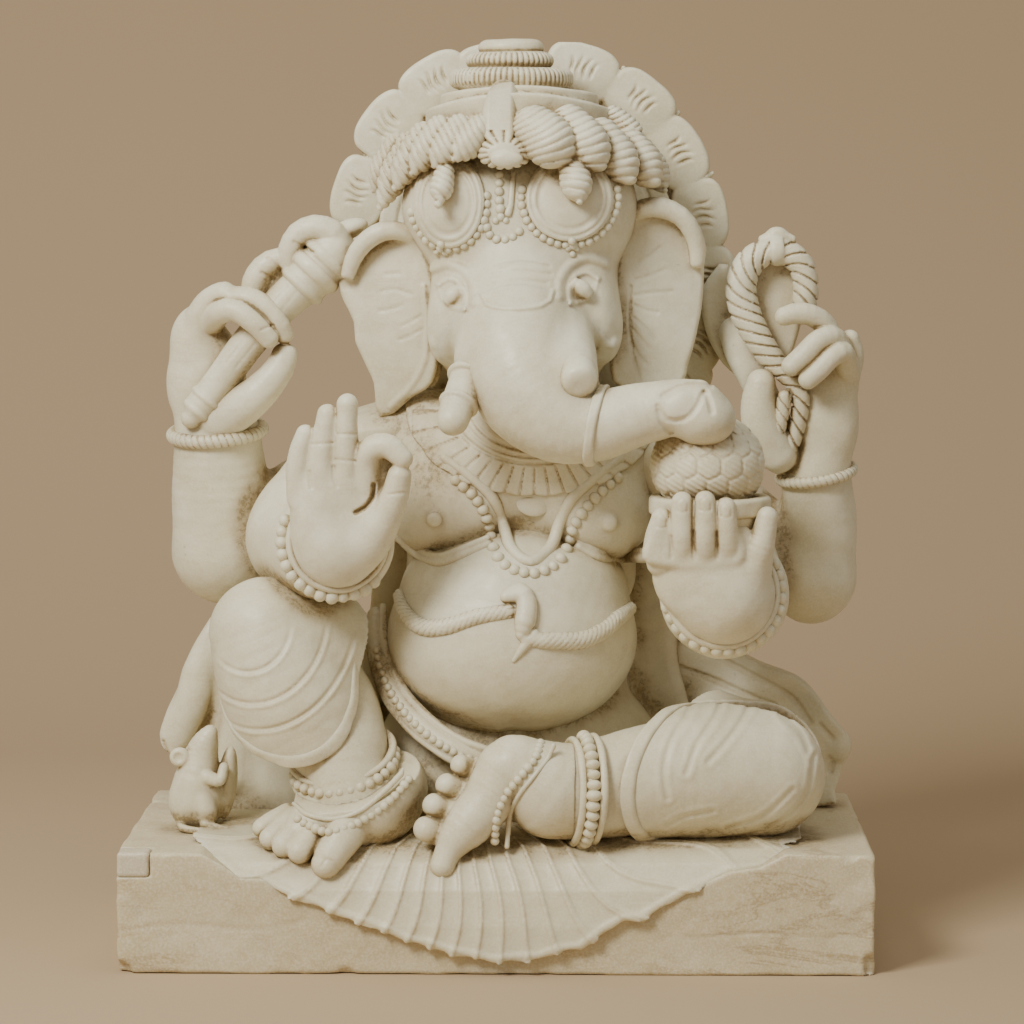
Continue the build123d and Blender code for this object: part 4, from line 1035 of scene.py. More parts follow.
shawl_r = Form(slab([(-232, 268), (-246, 248), (-262, 218), (-275, 190), (-284, 164), (-280, 150), (-271, 138),
                     (-252, 120), (-232, 98), (-140, 98), (-140, 200), (-190, 262)],
                    lambda x, z: 46 + 5 * np.sin((x + 0.35 * z) / 11), 9, 4))
shawl_r.groove([[(-238, 262), (-246, 220), (-258, 180), (-264, 150)],
                [(-222, 240), (-228, 200), (-236, 160), (-238, 130)], [(-208, 200), (-214, 160), (-216, 120)]],
               2.6, 4.5, (0, 60))
shawl_r.add(tube([(-226, 42, 264), (-247, 38, 226), (-257, 36, 192), (-270, 38, 162)], [11, 14, 15, 13], 6,
                 (1, 0.7, 1)), 5)
shawl_r.add(tube([(-206, 40, 226), (-216, 36, 180), (-222, 38, 130)], [10, 13, 14], 6, (1, 0.7, 1)), 6)
shawl_r.groove([[(-281, 158), (-276, 146), (-270, 138)]], 2, 2.6, (0, 60))
shawl_r.join(Form(slab([(-215, 240), (-236, 170), (-232, 98), (-120, 98), (-110, 240)], 60, 22, 10)), 14)
piece("shawl_right", shawl_r, 1.6)
shawl_l = Form(slab([(112, 262), (160, 250), (212, 224), (254, 206), (280, 176), (297, 153), (294, 140),
                     (284, 112), (270, 97), (120, 97)], lambda x, z: 78 + 4 * np.sin((x - 1.2 * z) / 16), 11,
                    4))
shawl_l.groove([[(150, 240), (210, 212), (245, 192), (262, 170)], [(120, 228), (180, 206), (232, 184)],
                [(270, 168), (284, 150), (280, 128)], [(292, 152), (280, 140)]], 2.2, 4.0, (40, 100))
shawl_l.add(ball((286, 72, 148), (11, 8, 12), (0, -20, 0)), 4)
piece("shawl_left", shawl_l, 1.6)

HIP = [(-101, 4, 268), (-100, -6, 246), (-94, -18, 224), (-80, -34, 202), (-58, -50, 182), (-32, -62, 167),
       (-6, -68, 158)]
hipband = Form(tube(HIP, [8, 9, 10, 10.5, 10.5, 10, 9], 5))
hipband.add(tube([(p[0] + 6, p[1] - 4, p[2] + 8) for p in HIP], 3.4, 5), 1)
hipband.add(tube([(p[0] - 4, p[1] - 6, p[2] - 7.5) for p in HIP], 3.0, 5), 1)
piece("hip_band", hipband, 1.3)
beads("hip_beads", drop_to(hipband, along([(p[0], p[1] - 9, p[2] - 1) for p in HIP[1:]], 7.0), 1.6), 3.9,
      "hip_band")

# ------------------------------------------------------------------ front right arm: raised palm

arm_fr = Form(tube([(-84, 26, 402), (-122, 20, 384), (-150, 8, 352)], [42, 46, 46], 8))
arm_fr.add(ball((-163, -2, 334), (45, 46, 45)), 14)
arm_fr.add(tube([(-158, -20, 330), (-142, -60, 330), (-128, -90, 338)], [42, 40, 36], 8), 10)
hand_fr = arm_fr.copy()
hand_fr.add(ball((-124, -104, 351), (38, 20, 43)), 8)
hand_fr.add(ball((-97, -108, 352), (19, 15, 30), (0, 24, 0)), 9)
hand_fr.add(ball((-146, -106, 362), (15, 14, 30), (0, -6, 0)), 9)
hand_fr.add(ball((-126, -107, 386), (38, 13, 26)), 8)
hand_fr.add(slab([(-145, 385), (-143, 432), (-132, 440), (-114, 442), (-108, 420), (-108, 385)], -111, 6.5, 4),
            4)
hand_fr.add(slab([(-163, 370), (-161, 404), (-152, 418), (-138, 420), (-130, 370)], -108, 6.5, 4), 4)
hand_fr.add(ball((-94, -103, 392), (17, 8, 24)), 4)
for pts, rr in (([(-117, -109, 382), (-118, -112, 404), (-117.5, -114, 430), (-116.5, -114, 451)],
                 [11, 10.2, 9.0, 8.6]), ([(-134, -108, 380), (-137, -111, 400), (-135, -112, 424),
                                          (-132.5, -112, 443)], [10.8, 10.2, 9.0, 8.2]),
                ([(-150, -105, 374), (-156, -107, 394), (-154.5, -109, 412), (-150, -109, 427)],
                 [10.5, 10.2, 9.0, 7.8]), ([(-103, -107, 386), (-102, -111, 406), (-96, -116, 417),
                                            (-84, -119, 418), (-73, -121, 409)], [12, 11.4, 10.5, 9.8, 8.4]),
                ([(-100, -106, 346), (-88, -112, 362), (-79, -117, 380), (-75.5, -119, 395)],
                 [17, 13.5, 11, 9.6])):
    hand_fr.add(tube(pts, rr, 4), 2.2)
hand_fr.carve(lambda x, y, z: 3.2 * hump(np.hypot(x + 118, (z - 362) * 0.8) / 24), (-145, -140, 330),
              (-92, -90, 392))
hand_fr.groove([[(-110, 366), (-103, 370), (-97, 378), (-96, 388)]], 3.4, 2.6, (-140, -96))
hand_fr.groove([[(-127, 402), (-127, 394), (-125, 387)], [(-146, 398), (-146, 391), (-145, 386)]], 1.0, 2.6,
               (-140, -92))
hand_fr.groove([[(-124, 428), (-110, 428)], [(-84, 381), (-70, 383)], [(-126, 408), (-110, 407)],
                [(-144, 420), (-128, 421)]], 0.7, 1.8, (-140, -100))
palm_n, palm_c = (0.25, -0.96, 0.1), (0.25 * -130 + 0.96 * 90 + 0.1 * 330)
elbow_n, elbow_c = (0, -1, 0.1), (18 + 33)
upper = split(arm_fr, elbow_n, elbow_c, 1, (-212, -60, 284), (-40, 80, 452), 1)
lower = split(split(hand_fr, elbow_n, elbow_c, -1, (-212, -112, 276), (-60, 10, 390), 1), palm_n, palm_c, 1,
              (-212, -112, 276), (-60, 10, 390), 1)
palm = split(hand_fr, palm_n, palm_c, -1, (-180, -140, 286), (-60, -70, 462), 1)
piece("front_right_upper_arm", upper, 1.8)
piece("front_right_forearm", lower)
piece("front_right_hand", palm, 1.2)
cuff_n = (0.22, -0.97, 0.12)
cuff = Form(ring((-126, -97, 341), cuff_n, 38.5, 3.2, 1.5))
cuff.add(ring((-128, -88, 339), cuff_n, 41, 6.5, 1.2))
piece("front_right_cuff", cuff, 1.3, "front_right_bracelet")
cuff_pts = loop_points((-127.5, -93.5, 340), cuff_n, 43.5, 150, 318, 60)
beads("front_right_beads", along(cuff_pts, 9.4), 5.8, "front_right_bracelet", (0.95, 1.0))

# ------------------------------------------------------------------ front left arm: bowl of sweets

arm_fl = Form(tube([(112, 28, 402), (150, 22, 376), (180, 12, 336)], [42, 44, 42], 8))
arm_fl.add(ball((190, 0, 304), (42, 44, 42)), 14)
arm_fl.add(tube([(189, -20, 294), (185, -56, 290), (181, -86, 297)], [42, 43, 42], 8), 10)
hand_fl = arm_fl.copy()
hand_fl.add(ball((168, -104, 316), (44, 21, 41)), 8)
hand_fl.add(ball((200, -104, 322), (18, 16, 26), (0, 25, 0)), 8)
hand_fl.add(ball((163, -113, 342), (42, 10, 24)), 5)
hand_fl.add(slab([(120, 326), (124, 356), (136, 362), (150, 370), (176, 370), (187, 360), (192, 326)], -118,
                 6.5, 5), 5)
for pts, rr in (([(131, -108, 326), (127, -114, 342), (130.5, -118, 362)], [12, 10.2, 8.2]),
                ([(148, -112, 328), (146.5, -121, 346), (146.5, -124, 375)], [10.8, 9.6, 8.2]),
                ([(166, -113, 328), (165, -123, 346), (164.5, -126, 376)], [10.8, 9.6, 8.2]),
                ([(183, -111, 328), (182, -121, 346), (180.5, -124, 371)], [10.8, 9.4, 8.0]),
                ([(199, -104, 316), (207, -110, 336), (211, -112, 348), (214, -112, 362)],
                 [16, 12.5, 10, 8.6])):
    hand_fl.add(tube(pts, rr, 4), 2.0)
hand_fl.groove([[(138, 348), (138.5, 336), (138, 331)], [(155.5, 352), (156, 340), (156, 331)],
                [(173, 352), (173.5, 340), (174, 331)]], 1.0, 2.6, (-150, -110))
nails = []
for nx, nz in ((130.5, 362), (146.5, 375), (164.5, 376), (180.5, 371)):
    nails += [[(nx - 4, nz - 6), (nx - 4.4, nz), (nx, nz + 5), (nx + 4.4, nz), (nx + 4, nz - 6)],
              [(nx - 4, nz - 6), (nx, nz - 7.2), (nx + 4, nz - 6)]]
hand_fl.groove(nails, 0.5, 1.6, (-150, -110))
wl_n, wl_c = (0, -0.98, 0.2), (0.98 * 90 + 0.2 * 296)
el_n, el_c = (0, -1, -0.1), (16 - 30)
piece("front_left_upper_arm", split(arm_fl, el_n, el_c, 1, (60, -60, 262), (235, 80, 446), 1), 1.8)
piece("front_left_forearm", split(split(hand_fl, el_n, el_c, -1, (125, -120, 246), (236, 10, 352), 1), wl_n,
                                  wl_c, 1, (125, -120, 246), (236, 10, 352), 1))
piece("front_left_hand", split(hand_fl, wl_n, wl_c, -1, (110, -140, 262), (236, -80, 386), 1), 1.2)
lc, ln = (180, -92, 300), (0.04, -0.98, 0.2)
lcuff = Form(ring(lc, ln, 42.5, 3.6, 1.5))
lcuff.add(ring((182, -80, 297.5), ln, 44.5, 7.5, 1.3))
piece("front_left_cuff", lcuff, 1.3, "front_left_bracelet")
beads("front_left_beads", along(loop_points((181, -89, 299), ln, 46, 165, 395, 60), 9.4), 5.7,
      "front_left_bracelet", (0.95, 0.95))

W_LO, W_HI = node_box("sweet_bowl")
bx, by = (W_LO[0] + W_HI[0]) / 2, (W_LO[1] + W_HI[1]) / 2


def bowl_shape(x, y, z):
    r = np.hypot(x - bx, y - by)
    wall = 30 + 16 * np.sqrt(np.clip((z - 330) / 34, 0, 1))
    body = np.maximum((r - wall) * 0.8, np.maximum(330 - z, z - 372))
    lip = np.hypot(np.maximum(abs(r - 43) - 2, 0), np.maximum(abs(z - 369) - 4, 0)) - 3.6
    return np.minimum(body, lip)


bowl = Form(Prim(bowl_shape, (bx - 52, by - 52, 328), (bx + 52, by + 52, 378)))
piece("sweet_bowl", bowl, 1.3)
S_LO, S_HI = node_box("sweets")
sc = np.array([(S_LO[0] + S_HI[0]) / 2, (S_LO[1] + S_HI[1]) / 2, 401.0])


def scales(x, y, z):
    """Overlapping rounded sweets pressed into a ball, each hatched."""
    lon = np.arctan2(x - sc[0], -(y - sc[1])) / 0.43
    lat = np.arcsin(np.clip((z - sc[2]) / 45, -1, 1)) / 0.38 + 0.35
    first = np.full(x.shape, 9.0, np.float32)
    second = first.copy()
    for k in (-1, 0, 1):
        i = np.floor(lat) + k
        for j in (-1, 0, 1):
            shift = 0.5 * (i % 2) + 0.16 * np.sin(2.1 * i)
            u = lon - (np.round(lon - shift) + shift) - j
            d = np.hypot(u, 0.86 * (lat - i - 0.5) + 0.10 * np.cos(5 * u))
            second = np.minimum(second, np.maximum(first, d))
            first = np.minimum(first, d)
    hatch = 0.22 * np.sin((x + 1.7 * z) / 1.25)
    return 0.9 * hump((second - first) / 0.22) + 1.5 * first ** 2 - 0.5 + hatch


heap = Form(ball(sc, (45.5, 44, 41)))
heap.carve(scales, sc - 52, sc + 52)
piece("sweets", heap, 1.1)

# ------------------------------------------------------------------ back right arm with the axe

arm_br = Form(tube([(-100, 58, 392), (-160, 62, 356), (-208, 58, 322)], [38, 41, 42], 8))
arm_br.add(ball((-226, 50, 318), (44, 42, 42)), 14)
arm_br.add(tube([(-230, 48, 318), (-232, 42, 360), (-234, 34, 412)], [43, 41, 36], 8), 12)
hand_br = arm_br.copy()
hand_br.add(ball((-242, 26, 462), (33, 21, 46), (0, 6, 0)), 12)
hand_br.add(ball((-250, 24, 500), (20, 16, 26), (0, 24, 0)), 10)
AXE = [(-252, 2, 432), (-246, 2, 440), (-236, 2, 452), (-205, 2, 493), (-180, 4, 522), (-152, 6, 548)]
for pts, rr in (([(-250, 22, 492), (-245, 16, 514), (-234, 8, 529), (-224, 2, 534), (-217, -2, 530)],
                 [14, 13, 11, 9.8, 8.6]), ([(-236, 12, 510), (-226, -8, 519), (-213, -16, 520),
                                            (-198, -18, 510), (-187, -14, 498)], [10.5, 9.6, 9.0, 8.6, 8.0]),
                ([(-232, 16, 522), (-212, 0, 530), (-196, -6, 527), (-181, -8, 513), (-175, -4, 501)],
                 [11, 10, 9.2, 8.8, 8.0]), ([(-230, 12, 430), (-207, 0, 444), (-191, -4, 458), (-179, -3, 473),
                                             (-175, -1, 483)], [19, 16.5, 14, 12, 10.8])):
    hand_br.add(tube(pts, rr, 4), 1.8)
hand_br.groove([[(-192, 505), (-183, 509)]], 0.8, 1.8, (-40, 20))
br_c = 414
piece("back_right_arm", split(hand_br, (0, 0, 1), br_c, 1, (-280, -10, 270), (-60, 105, 430), 1), 1.6)
piece("back_right_hand", split(hand_br, (0, 0, 1), br_c, -1, (-285, -40, 410), (-165, 60, 545), 1), 1.2)


def rope_ring(c, n, radius, thick, turns, depth=1.1):
    form = Form(ring(c, n, radius, thick))
    n = np.array(n, float) / np.linalg.norm(n)
    up = np.cross(n, (0, 1, 0))
    up /= np.linalg.norm(up)
    side = np.cross(n, up)

    def twist(x, y, z):
        dx, dy, dz = x - c[0], y - c[1], z - c[2]
        a = np.arctan2(dx * side[0] + dy * side[1] + dz * side[2], dx * up[0] + dy * up[1] + dz * up[2])
        h = dx * n[0] + dy * n[1] + dz * n[2]
        return depth * hump(np.sin(a * turns / 2 + h / thick * 0.9) / 0.45) - 0.3

    form.carve(twist, np.array(c) - radius - thick - 3, np.array(c) + radius + thick + 3)
    return form


piece("back_right_bracelet", rope_ring((-234, 33, 418), (-0.06, -0.14, 1), 37, 5.4, 44), 1.2)

axe = Form(tube(AXE, [9, 12.5, 13.2, 14, 15.5, 17.5], 6))
axe.add(ring((-247, 2, 438), (0.62, 0, 0.78), 10, 3.4), 1)
axe.add(ring((-239, 2, 448), (0.62, 0, 0.78), 12, 3.0), 1)
axe.groove([[(-222, 478), (-172, 540)], [(-214, 474), (-164, 536)]], 0.5, 2, (-30, 0))
piece("axe_handle", axe, 1.2)
ax_n = (0.68, 0.05, 0.73)
axh = Form(ring((-161, 6, 540), ax_n, 16.5, 4.4, 0.9))
axh.add(tube([(-158, 6, 543), (-136, 8, 566)], [19, 21]), 2)
axh.add(ring((-150, 7, 552), ax_n, 18.5, 5.0, 1.3), 1)
axh.add(ring((-140, 8, 562), ax_n, 19, 4.6, 1.2), 1)
axh.add(tube([(-128, 6, 572), (-136, 2, 583), (-150, 2, 587), (-163, 4, 582), (-170, 4, 570), (-171, 6, 558)],
             [11, 11, 11, 10.5, 10, 9], 5), 1.5)
axh.add(tube([(-166, 8, 556), (-180, 8, 562), (-193, 8, 555), (-200, 8, 543), (-201, 8, 532), (-196, 8, 524),
              (-186, 10, 519)], [7, 9, 10, 10, 9.6, 8.4, 7], 5), 2)
axh.add(slab([(-203, 526), (-202, 552), (-180, 566), (-160, 584), (-140, 588), (-126, 575), (-160, 544),
              (-184, 515)], 14, 6, 3), 2)
axh.add(ball((-136, 12, 580), (15, 10, 9), (0, -30, 0)), 2)
axh.add(ball((-122, 12, 586), (16, 10, 8), (0, -20, 0)), 2)
axh.groove([[(-188, 563), (-178, 554)], [(-193, 551), (-184, 546)], [(-166, 576), (-150, 568)]], 1.3, 2.4,
           (-20, 10))
axh.keep(block((-230, -30, 500), (-96, 60, 600), 2), 1)
piece("axe_head", axh, 1.2)

# ------------------------------------------------------------------ back left arm with the noose

arm_bl = Form(tube([(126, 60, 386), (184, 62, 350), (232, 56, 312)], [36, 38, 36], 8))
arm_bl.add(ball((260, 46, 292), (34, 36, 35)), 14)
arm_bl.add(tube([(264, 44, 300), (266, 40, 340), (263, 34, 382)], [32.5, 31.5, 28.5], 8), 12)
hand_bl = arm_bl.copy()
hand_bl.add(ball((270, 22, 430), (27, 20, 50)), 12)
hand_bl.add(ball((282, 18, 470), (15, 14, 26)), 8)
hand_bl.add(ball((222, 16, 424), (17, 15, 30), (0, -8, 0)), 6)
for pts, rr in (([(287, 16, 468), (291, 14, 484), (288, 12, 496)], [10, 8.6, 7.8]),
                ([(276, 14, 480), (268, 2, 506), (254, -6, 517), (240, -8, 518), (233, -8, 516)],
                 [11, 9.4, 8.8, 8.4, 7.8]), ([(282, 12, 478), (274, -4, 497), (262, -12, 497), (248, -14, 484),
                                              (239, -13, 476)], [10.5, 9.8, 9.2, 9, 8.6]),
                ([(286, 10, 470), (281, -8, 486), (272, -15, 484), (260, -17, 472), (252, -16, 465)],
                 [10, 9, 8.4, 8.2, 7.8]), ([(230, 14, 402), (217, 8, 424), (213, 6, 444), (215, 5, 460)],
                                           [16, 16, 14.5, 12])):
    hand_bl.add(tube(pts, rr, 4), 1.6)
bl_c = 383
piece("back_left_arm", split(hand_bl, (0, 0, 1), bl_c, 1, (80, -10, 250), (299.5, 105, 400), 1), 1.6)
piece("back_left_hand", split(hand_bl, (0, 0, 1), bl_c, -1, (200, -40, 378), (299.5, 60, 530), 1), 1.2)
piece("back_left_bracelet", rope_ring((263, 33, 384), (-0.16, -0.14, 1), 30, 4.6, 40), 1.2)

# The rope's centre line as (x, y, z, radius).
NOOSE = [(231, 18, 392, 7), (240, 10, 410, 7.2), (246, 6, 432, 7), (247, 4, 452, 7.4), (238, 6, 466, 8.4),
         (226, 10, 478, 9.4), (212, 14, 498, 11.4), (202, 18, 520, 12.4), (199, 18, 542, 12.4),
         (208, 18, 561, 11.6), (228, 18, 569, 10.4), (246, 18, 559, 10.6), (252, 18, 540, 10.6),
         (250, 16, 518, 10)]


def twisted(rows, turns, depth=1.6, step=4.0):
    """Rope: a tube with strands that wind round it."""
    path = smooth_path(rows, step)
    s = np.concatenate([[0], np.cumsum(np.linalg.norm(np.diff(path[:, :3], axis=0), axis=1))])
    form = Form(tube(path[:, :3], path[:, 3], smooth=False))

    def strands(x, y, z):
        best, pos, q = None, None, None
        for i in range(len(path) - 1):
            a, b = path[i, :3], path[i + 1, :3]
            ab = b - a
            px, py, pz = x - a[0], y - a[1], z - a[2]
            t = np.clip((px * ab[0] + py * ab[1] + pz * ab[2]) / max(ab @ ab, 1e-6), 0, 1)
            d = (px - t * ab[0]) ** 2 + (py - t * ab[1]) ** 2 + (pz - t * ab[2]) ** 2
            nx, nz = ab[2], -ab[0]
            m = math.hypot(nx, nz) + 1e-6
            off = (px * nx + pz * nz) / m
            here = s[i] + t * (s[i + 1] - s[i])
            if best is None:
                best, pos, q = d, here, off
            else:
                closer = d < best
                best, pos, q = np.where(closer, d, best), np.where(closer, here, pos), np.where(closer, off, q)
        return depth * hump((((pos + 0.9 * q) / turns) % 1.0 - 0.5) / 0.15) - 0.3

    lo, hi = form.lo - 2, form.hi + 2
    form.carve(strands, lo, hi)
    return form


rope = twisted(NOOSE, 11.0, 2.0)
rope.join(twisted([(229, 18, 392, 6.5), (224, 8, 408, 6.4), (230, 2, 426, 6), (234, 0, 450, 5.5)], 9.0, 1.2), 1)
rope.add(ring((228, 18, 569), (1, 0, 0.1), 10.6, 2.6, 2.2), 1)
rope.add(tube([(216, 18, 578), (228, 18, 581), (240, 18, 578)], [3.5, 6, 3.5], 3), 2)
rope.add(ball((228, 18, 583), (8, 6, 5.5)), 2)
piece("noose_rope", rope, 1.2)
web = Form(slab([(198, 498), (200, 552), (226, 568), (250, 554), (250, 515), (240, 480), (226, 465),
                 (212, 470)], 34, 9, 5))
web.add(tube([(196, 44, 500), (204, 38, 478), (224, 34, 440), (240, 30, 410)], [14, 14, 12, 10]), 8)
web.add(slab([(176, 548), (190, 556), (200, 500), (212, 470), (202, 462), (186, 474), (172, 500), (168, 530)],
             66, 12, 6), 6)
piece("noose_web", web, 1.6)

# ------------------------------------------------------------------ collar, cords, necklace and serpent belt


def front_line(form, pts, sink=0.0):
    return drop_to(form, [(x, -40, z) for x, z in pts], sink, reach=80)


collar = Form(ball((28, 0, 420), (78, 50, 50)))


def collar_bands(x, y, z):
    r = np.hypot((x - 30) / 1.45, z - 446)
    out = 1.5 * hump((r - 36) / 2.4) + 1.2 * hump((r - 41.5) / 2.2) + 1.5 * hump((r - 47) / 2.4)
    a = np.arctan2(x - 30, 446 - z)
    flutes = 1.1 * hump(np.sin(a * 19) / 0.45) * np.clip((r - 48) / 3, 0, 1) + 0.6 * np.clip((r - 60) / 12, 0,
                                                                                             1)
    return out + flutes


collar.join(chest, 8)
fan_c = Form()
fan_c.join(collar)
fan_c.carve(collar_bands, (-70, -120, 360), (130, 20, 440))


def collar_edge(x, y, z):
    r = np.hypot((x - 30) / 1.45, z - 446)
    a = np.arctan2(x - 30, 446 - z)
    return r - 73 - 1.2 * abs(np.sin(a * 10.5))


shell = Form(Prim(lambda x, y, z: fan_c.at(x, y, z) - 3.2, (-72, -70, 366), (132, 20, 446)))
shell.keep(Prim(collar_edge, (-72, -72, 366), (132, 20, 446)), 2)
plate = drop_to(chest, [(29.5, -40, 366)])[0]
shell.add(ball((29.5, plate[1], 366), (15, 3.4, 11.5)), 1)
piece("collar", shell, 1.3)

CORD = [(-42, 402), (-23, 389), (-4, 371), (4, 350), (11, 331), (27, 321), (43, 331), (51, 352), (61, 371),
        (80, 388), (98, 401)]
cords = Form(tube(front_line(torso, CORD, 0.5), 5.0, 4))
for run in ([(-84, 338), (-66, 322), (-48, 318), (-30, 324), (-8, 333)],
            [(66, 330), (84, 320), (104, 316), (122, 322)]):
    cords.add(tube(front_line(torso, run, 1.0), 4.4, 4), 1)
    cords.add(tube([(p[0], p[1] - 0.5, p[2] + 5.5) for p in front_line(torso, run, 1.0)], 2.6, 4), 1)
piece("necklace_cords", cords, 1.2)
STRAND = [(-36, 388), (-18, 371), (-10, 356), (-6, 342), (-2, 328), (7, 318), (20, 312.5), (33, 312.5),
          (47, 318), (56, 329), (61, 344), (69, 359), (83, 374), (100, 389)]
beads("bead_necklace", front_line(torso, [(p[0], p[2]) for p in along([(x, 0, z) for x, z in STRAND], 8.2)],
                                  1.4), 5.0, "bead_necklace", (0.95, 1.05))


def coil(points, radii):
    """One twisted length of the serpent, laid on the belly."""
    return twisted([tuple(p) + (r,) for p, r in zip(front_line(torso, points, 1.5), radii)], 5.0, 0.7)


snake = coil([(-80, 288), (-74, 277), (-60, 268), (-40, 270), (-14, 279), (10, 283)],
             (5.5, 6.5, 6.8, 6.8, 6.4, 6))
snake.join(coil([(24, 262), (44, 260), (66, 259), (84, 264), (98, 273), (108, 277)], (6, 6.8, 7, 7, 6.4, 5.6)),
           1)
snake.add(tube(front_line(torso, [(10, 297), (19, 299), (24, 290), (23, 276), (20, 266)], -1.0),
               [5.5, 7, 8.5, 9, 5], 4), 1.5)
snake.add(tube(front_line(torso, [(22, 297), (8, 295)], -2.0), [7, 5.2], 3), 1.5)
snake.add(tube(front_line(torso, [(30, 266), (22, 256), (14, 245)], 0.5), [5, 4, 1.8], 3), 1.5)
piece("serpent_belt", snake, 1.1)

# ------------------------------------------------------------------ mouse

M_LO, M_HI = node_box("mouse")
my = (M_LO[1] + M_HI[1]) / 2
mouse = Form(ball((-247, my, 121), (23, 19, 26), (0, 8, 0)))
mouse.add(tube([(-246, my, 140), (-243, my, 157), (-239, my - 2, 169), (-235, my - 4, 177)],
               [18, 14, 10.5, 6.5], 4), 6)
mouse.add(ball((-259, my - 10, 158), (8.5, 4.5, 8)), 1.5)
mouse.cut(ball((-260, my - 15, 158), (5, 3, 4.8)), 1)
mouse.add(tube([(-236, my - 14, 142), (-226, my - 16, 140), (-223, my - 12, 150)], [6, 4.6, 4], 3), 2)
mouse.add(ball((-238, my - 14, 115), (9, 8, 15), (0, -12, 0)), 3)
mouse.add(tube([(-238, my - 18, 104), (-228, my - 20, 101), (-220, my - 22, 100)], [4.5, 3.6, 2.8], 3), 1.5)
mouse.add(tube([(-262, my + 8, 104), (-256, my - 18, 101), (-240, my - 25, 100)], [4, 3, 2], 4), 1.5)
mouse.add(ball((-222, my + 6, 134), (8, 12, 30), (0, 6, 0)), 4)
mouse.keep(half_space((0, 0, -1), -96.5, (-272, my - 32, 96), (-210, my + 24, 190)))
piece("mouse", mouse, 1.1)

# ------------------------------------------------------------------ how sheltered each point is, over all pieces, for painted shade and dirt

CELL = 5.0
G_LO = LOW - BASE - 30
G_N = np.ceil((HIGH - LOW + 60) / CELL).astype(int)
solid = np.full(G_N, 30.0, np.float32)
for item in PIECES:
    form = item["form"]
    if form is None:
        continue
    a = np.clip(((form.lo - 10 - G_LO) / CELL).astype(int), 0, G_N - 1)
    b = np.clip(((form.hi + 10 - G_LO) / CELL).astype(int) + 1, 1, G_N)
    ids = np.stack(np.meshgrid(*[np.arange(a[i], b[i]) for i in range(3)], indexing="ij"), -1).reshape(-1, 3)
    d = sample(form, G_LO + ids * CELL, 80.0).reshape(b - a)
    view = solid[a[0]:b[0], a[1]:b[1], a[2]:b[2]]
    np.minimum(view, d, out=view)
full = np.clip(0.5 - solid / CELL, 0, 1)


def box_blur(v, r):
    for axis in range(3):
        pad = [(0, 0)] * 3
        pad[axis] = (r + 1, r)
        c = np.cumsum(np.pad(v, pad, mode="edge"), axis=axis, dtype=np.float32)
        hi = [slice(None)] * 3
        lo = [slice(None)] * 3
        hi[axis] = slice(2 * r + 1, None)
        lo[axis] = slice(None, -2 * r - 1)
        v = (c[tuple(hi)] - c[tuple(lo)]) / (2 * r + 1)
    return v


near_fill, far_fill = box_blur(full, 1), box_blur(full, 3)


def look_up(volume, p):
    q = np.clip((p - G_LO) / CELL, 0, np.array(G_N) - 1.001)
    i = q.astype(int)
    f = q - i
    out = np.zeros(len(p), np.float32)
    for dx in (0, 1):
        for dy in (0, 1):
            for dz in (0, 1):
                w = abs(1 - dx - f[:, 0]) * abs(1 - dy - f[:, 1]) * abs(1 - dz - f[:, 2])
                out += w * volume[i[:, 0] + dx, i[:, 1] + dy, i[:, 2] + dz]
    return out


# ------------------------------------------------------------------ marble


def node(tree, kind, **values):
    n = tree.nodes.new(kind)
    for key, value in values.items():
        setattr(n, key, value)
    return n


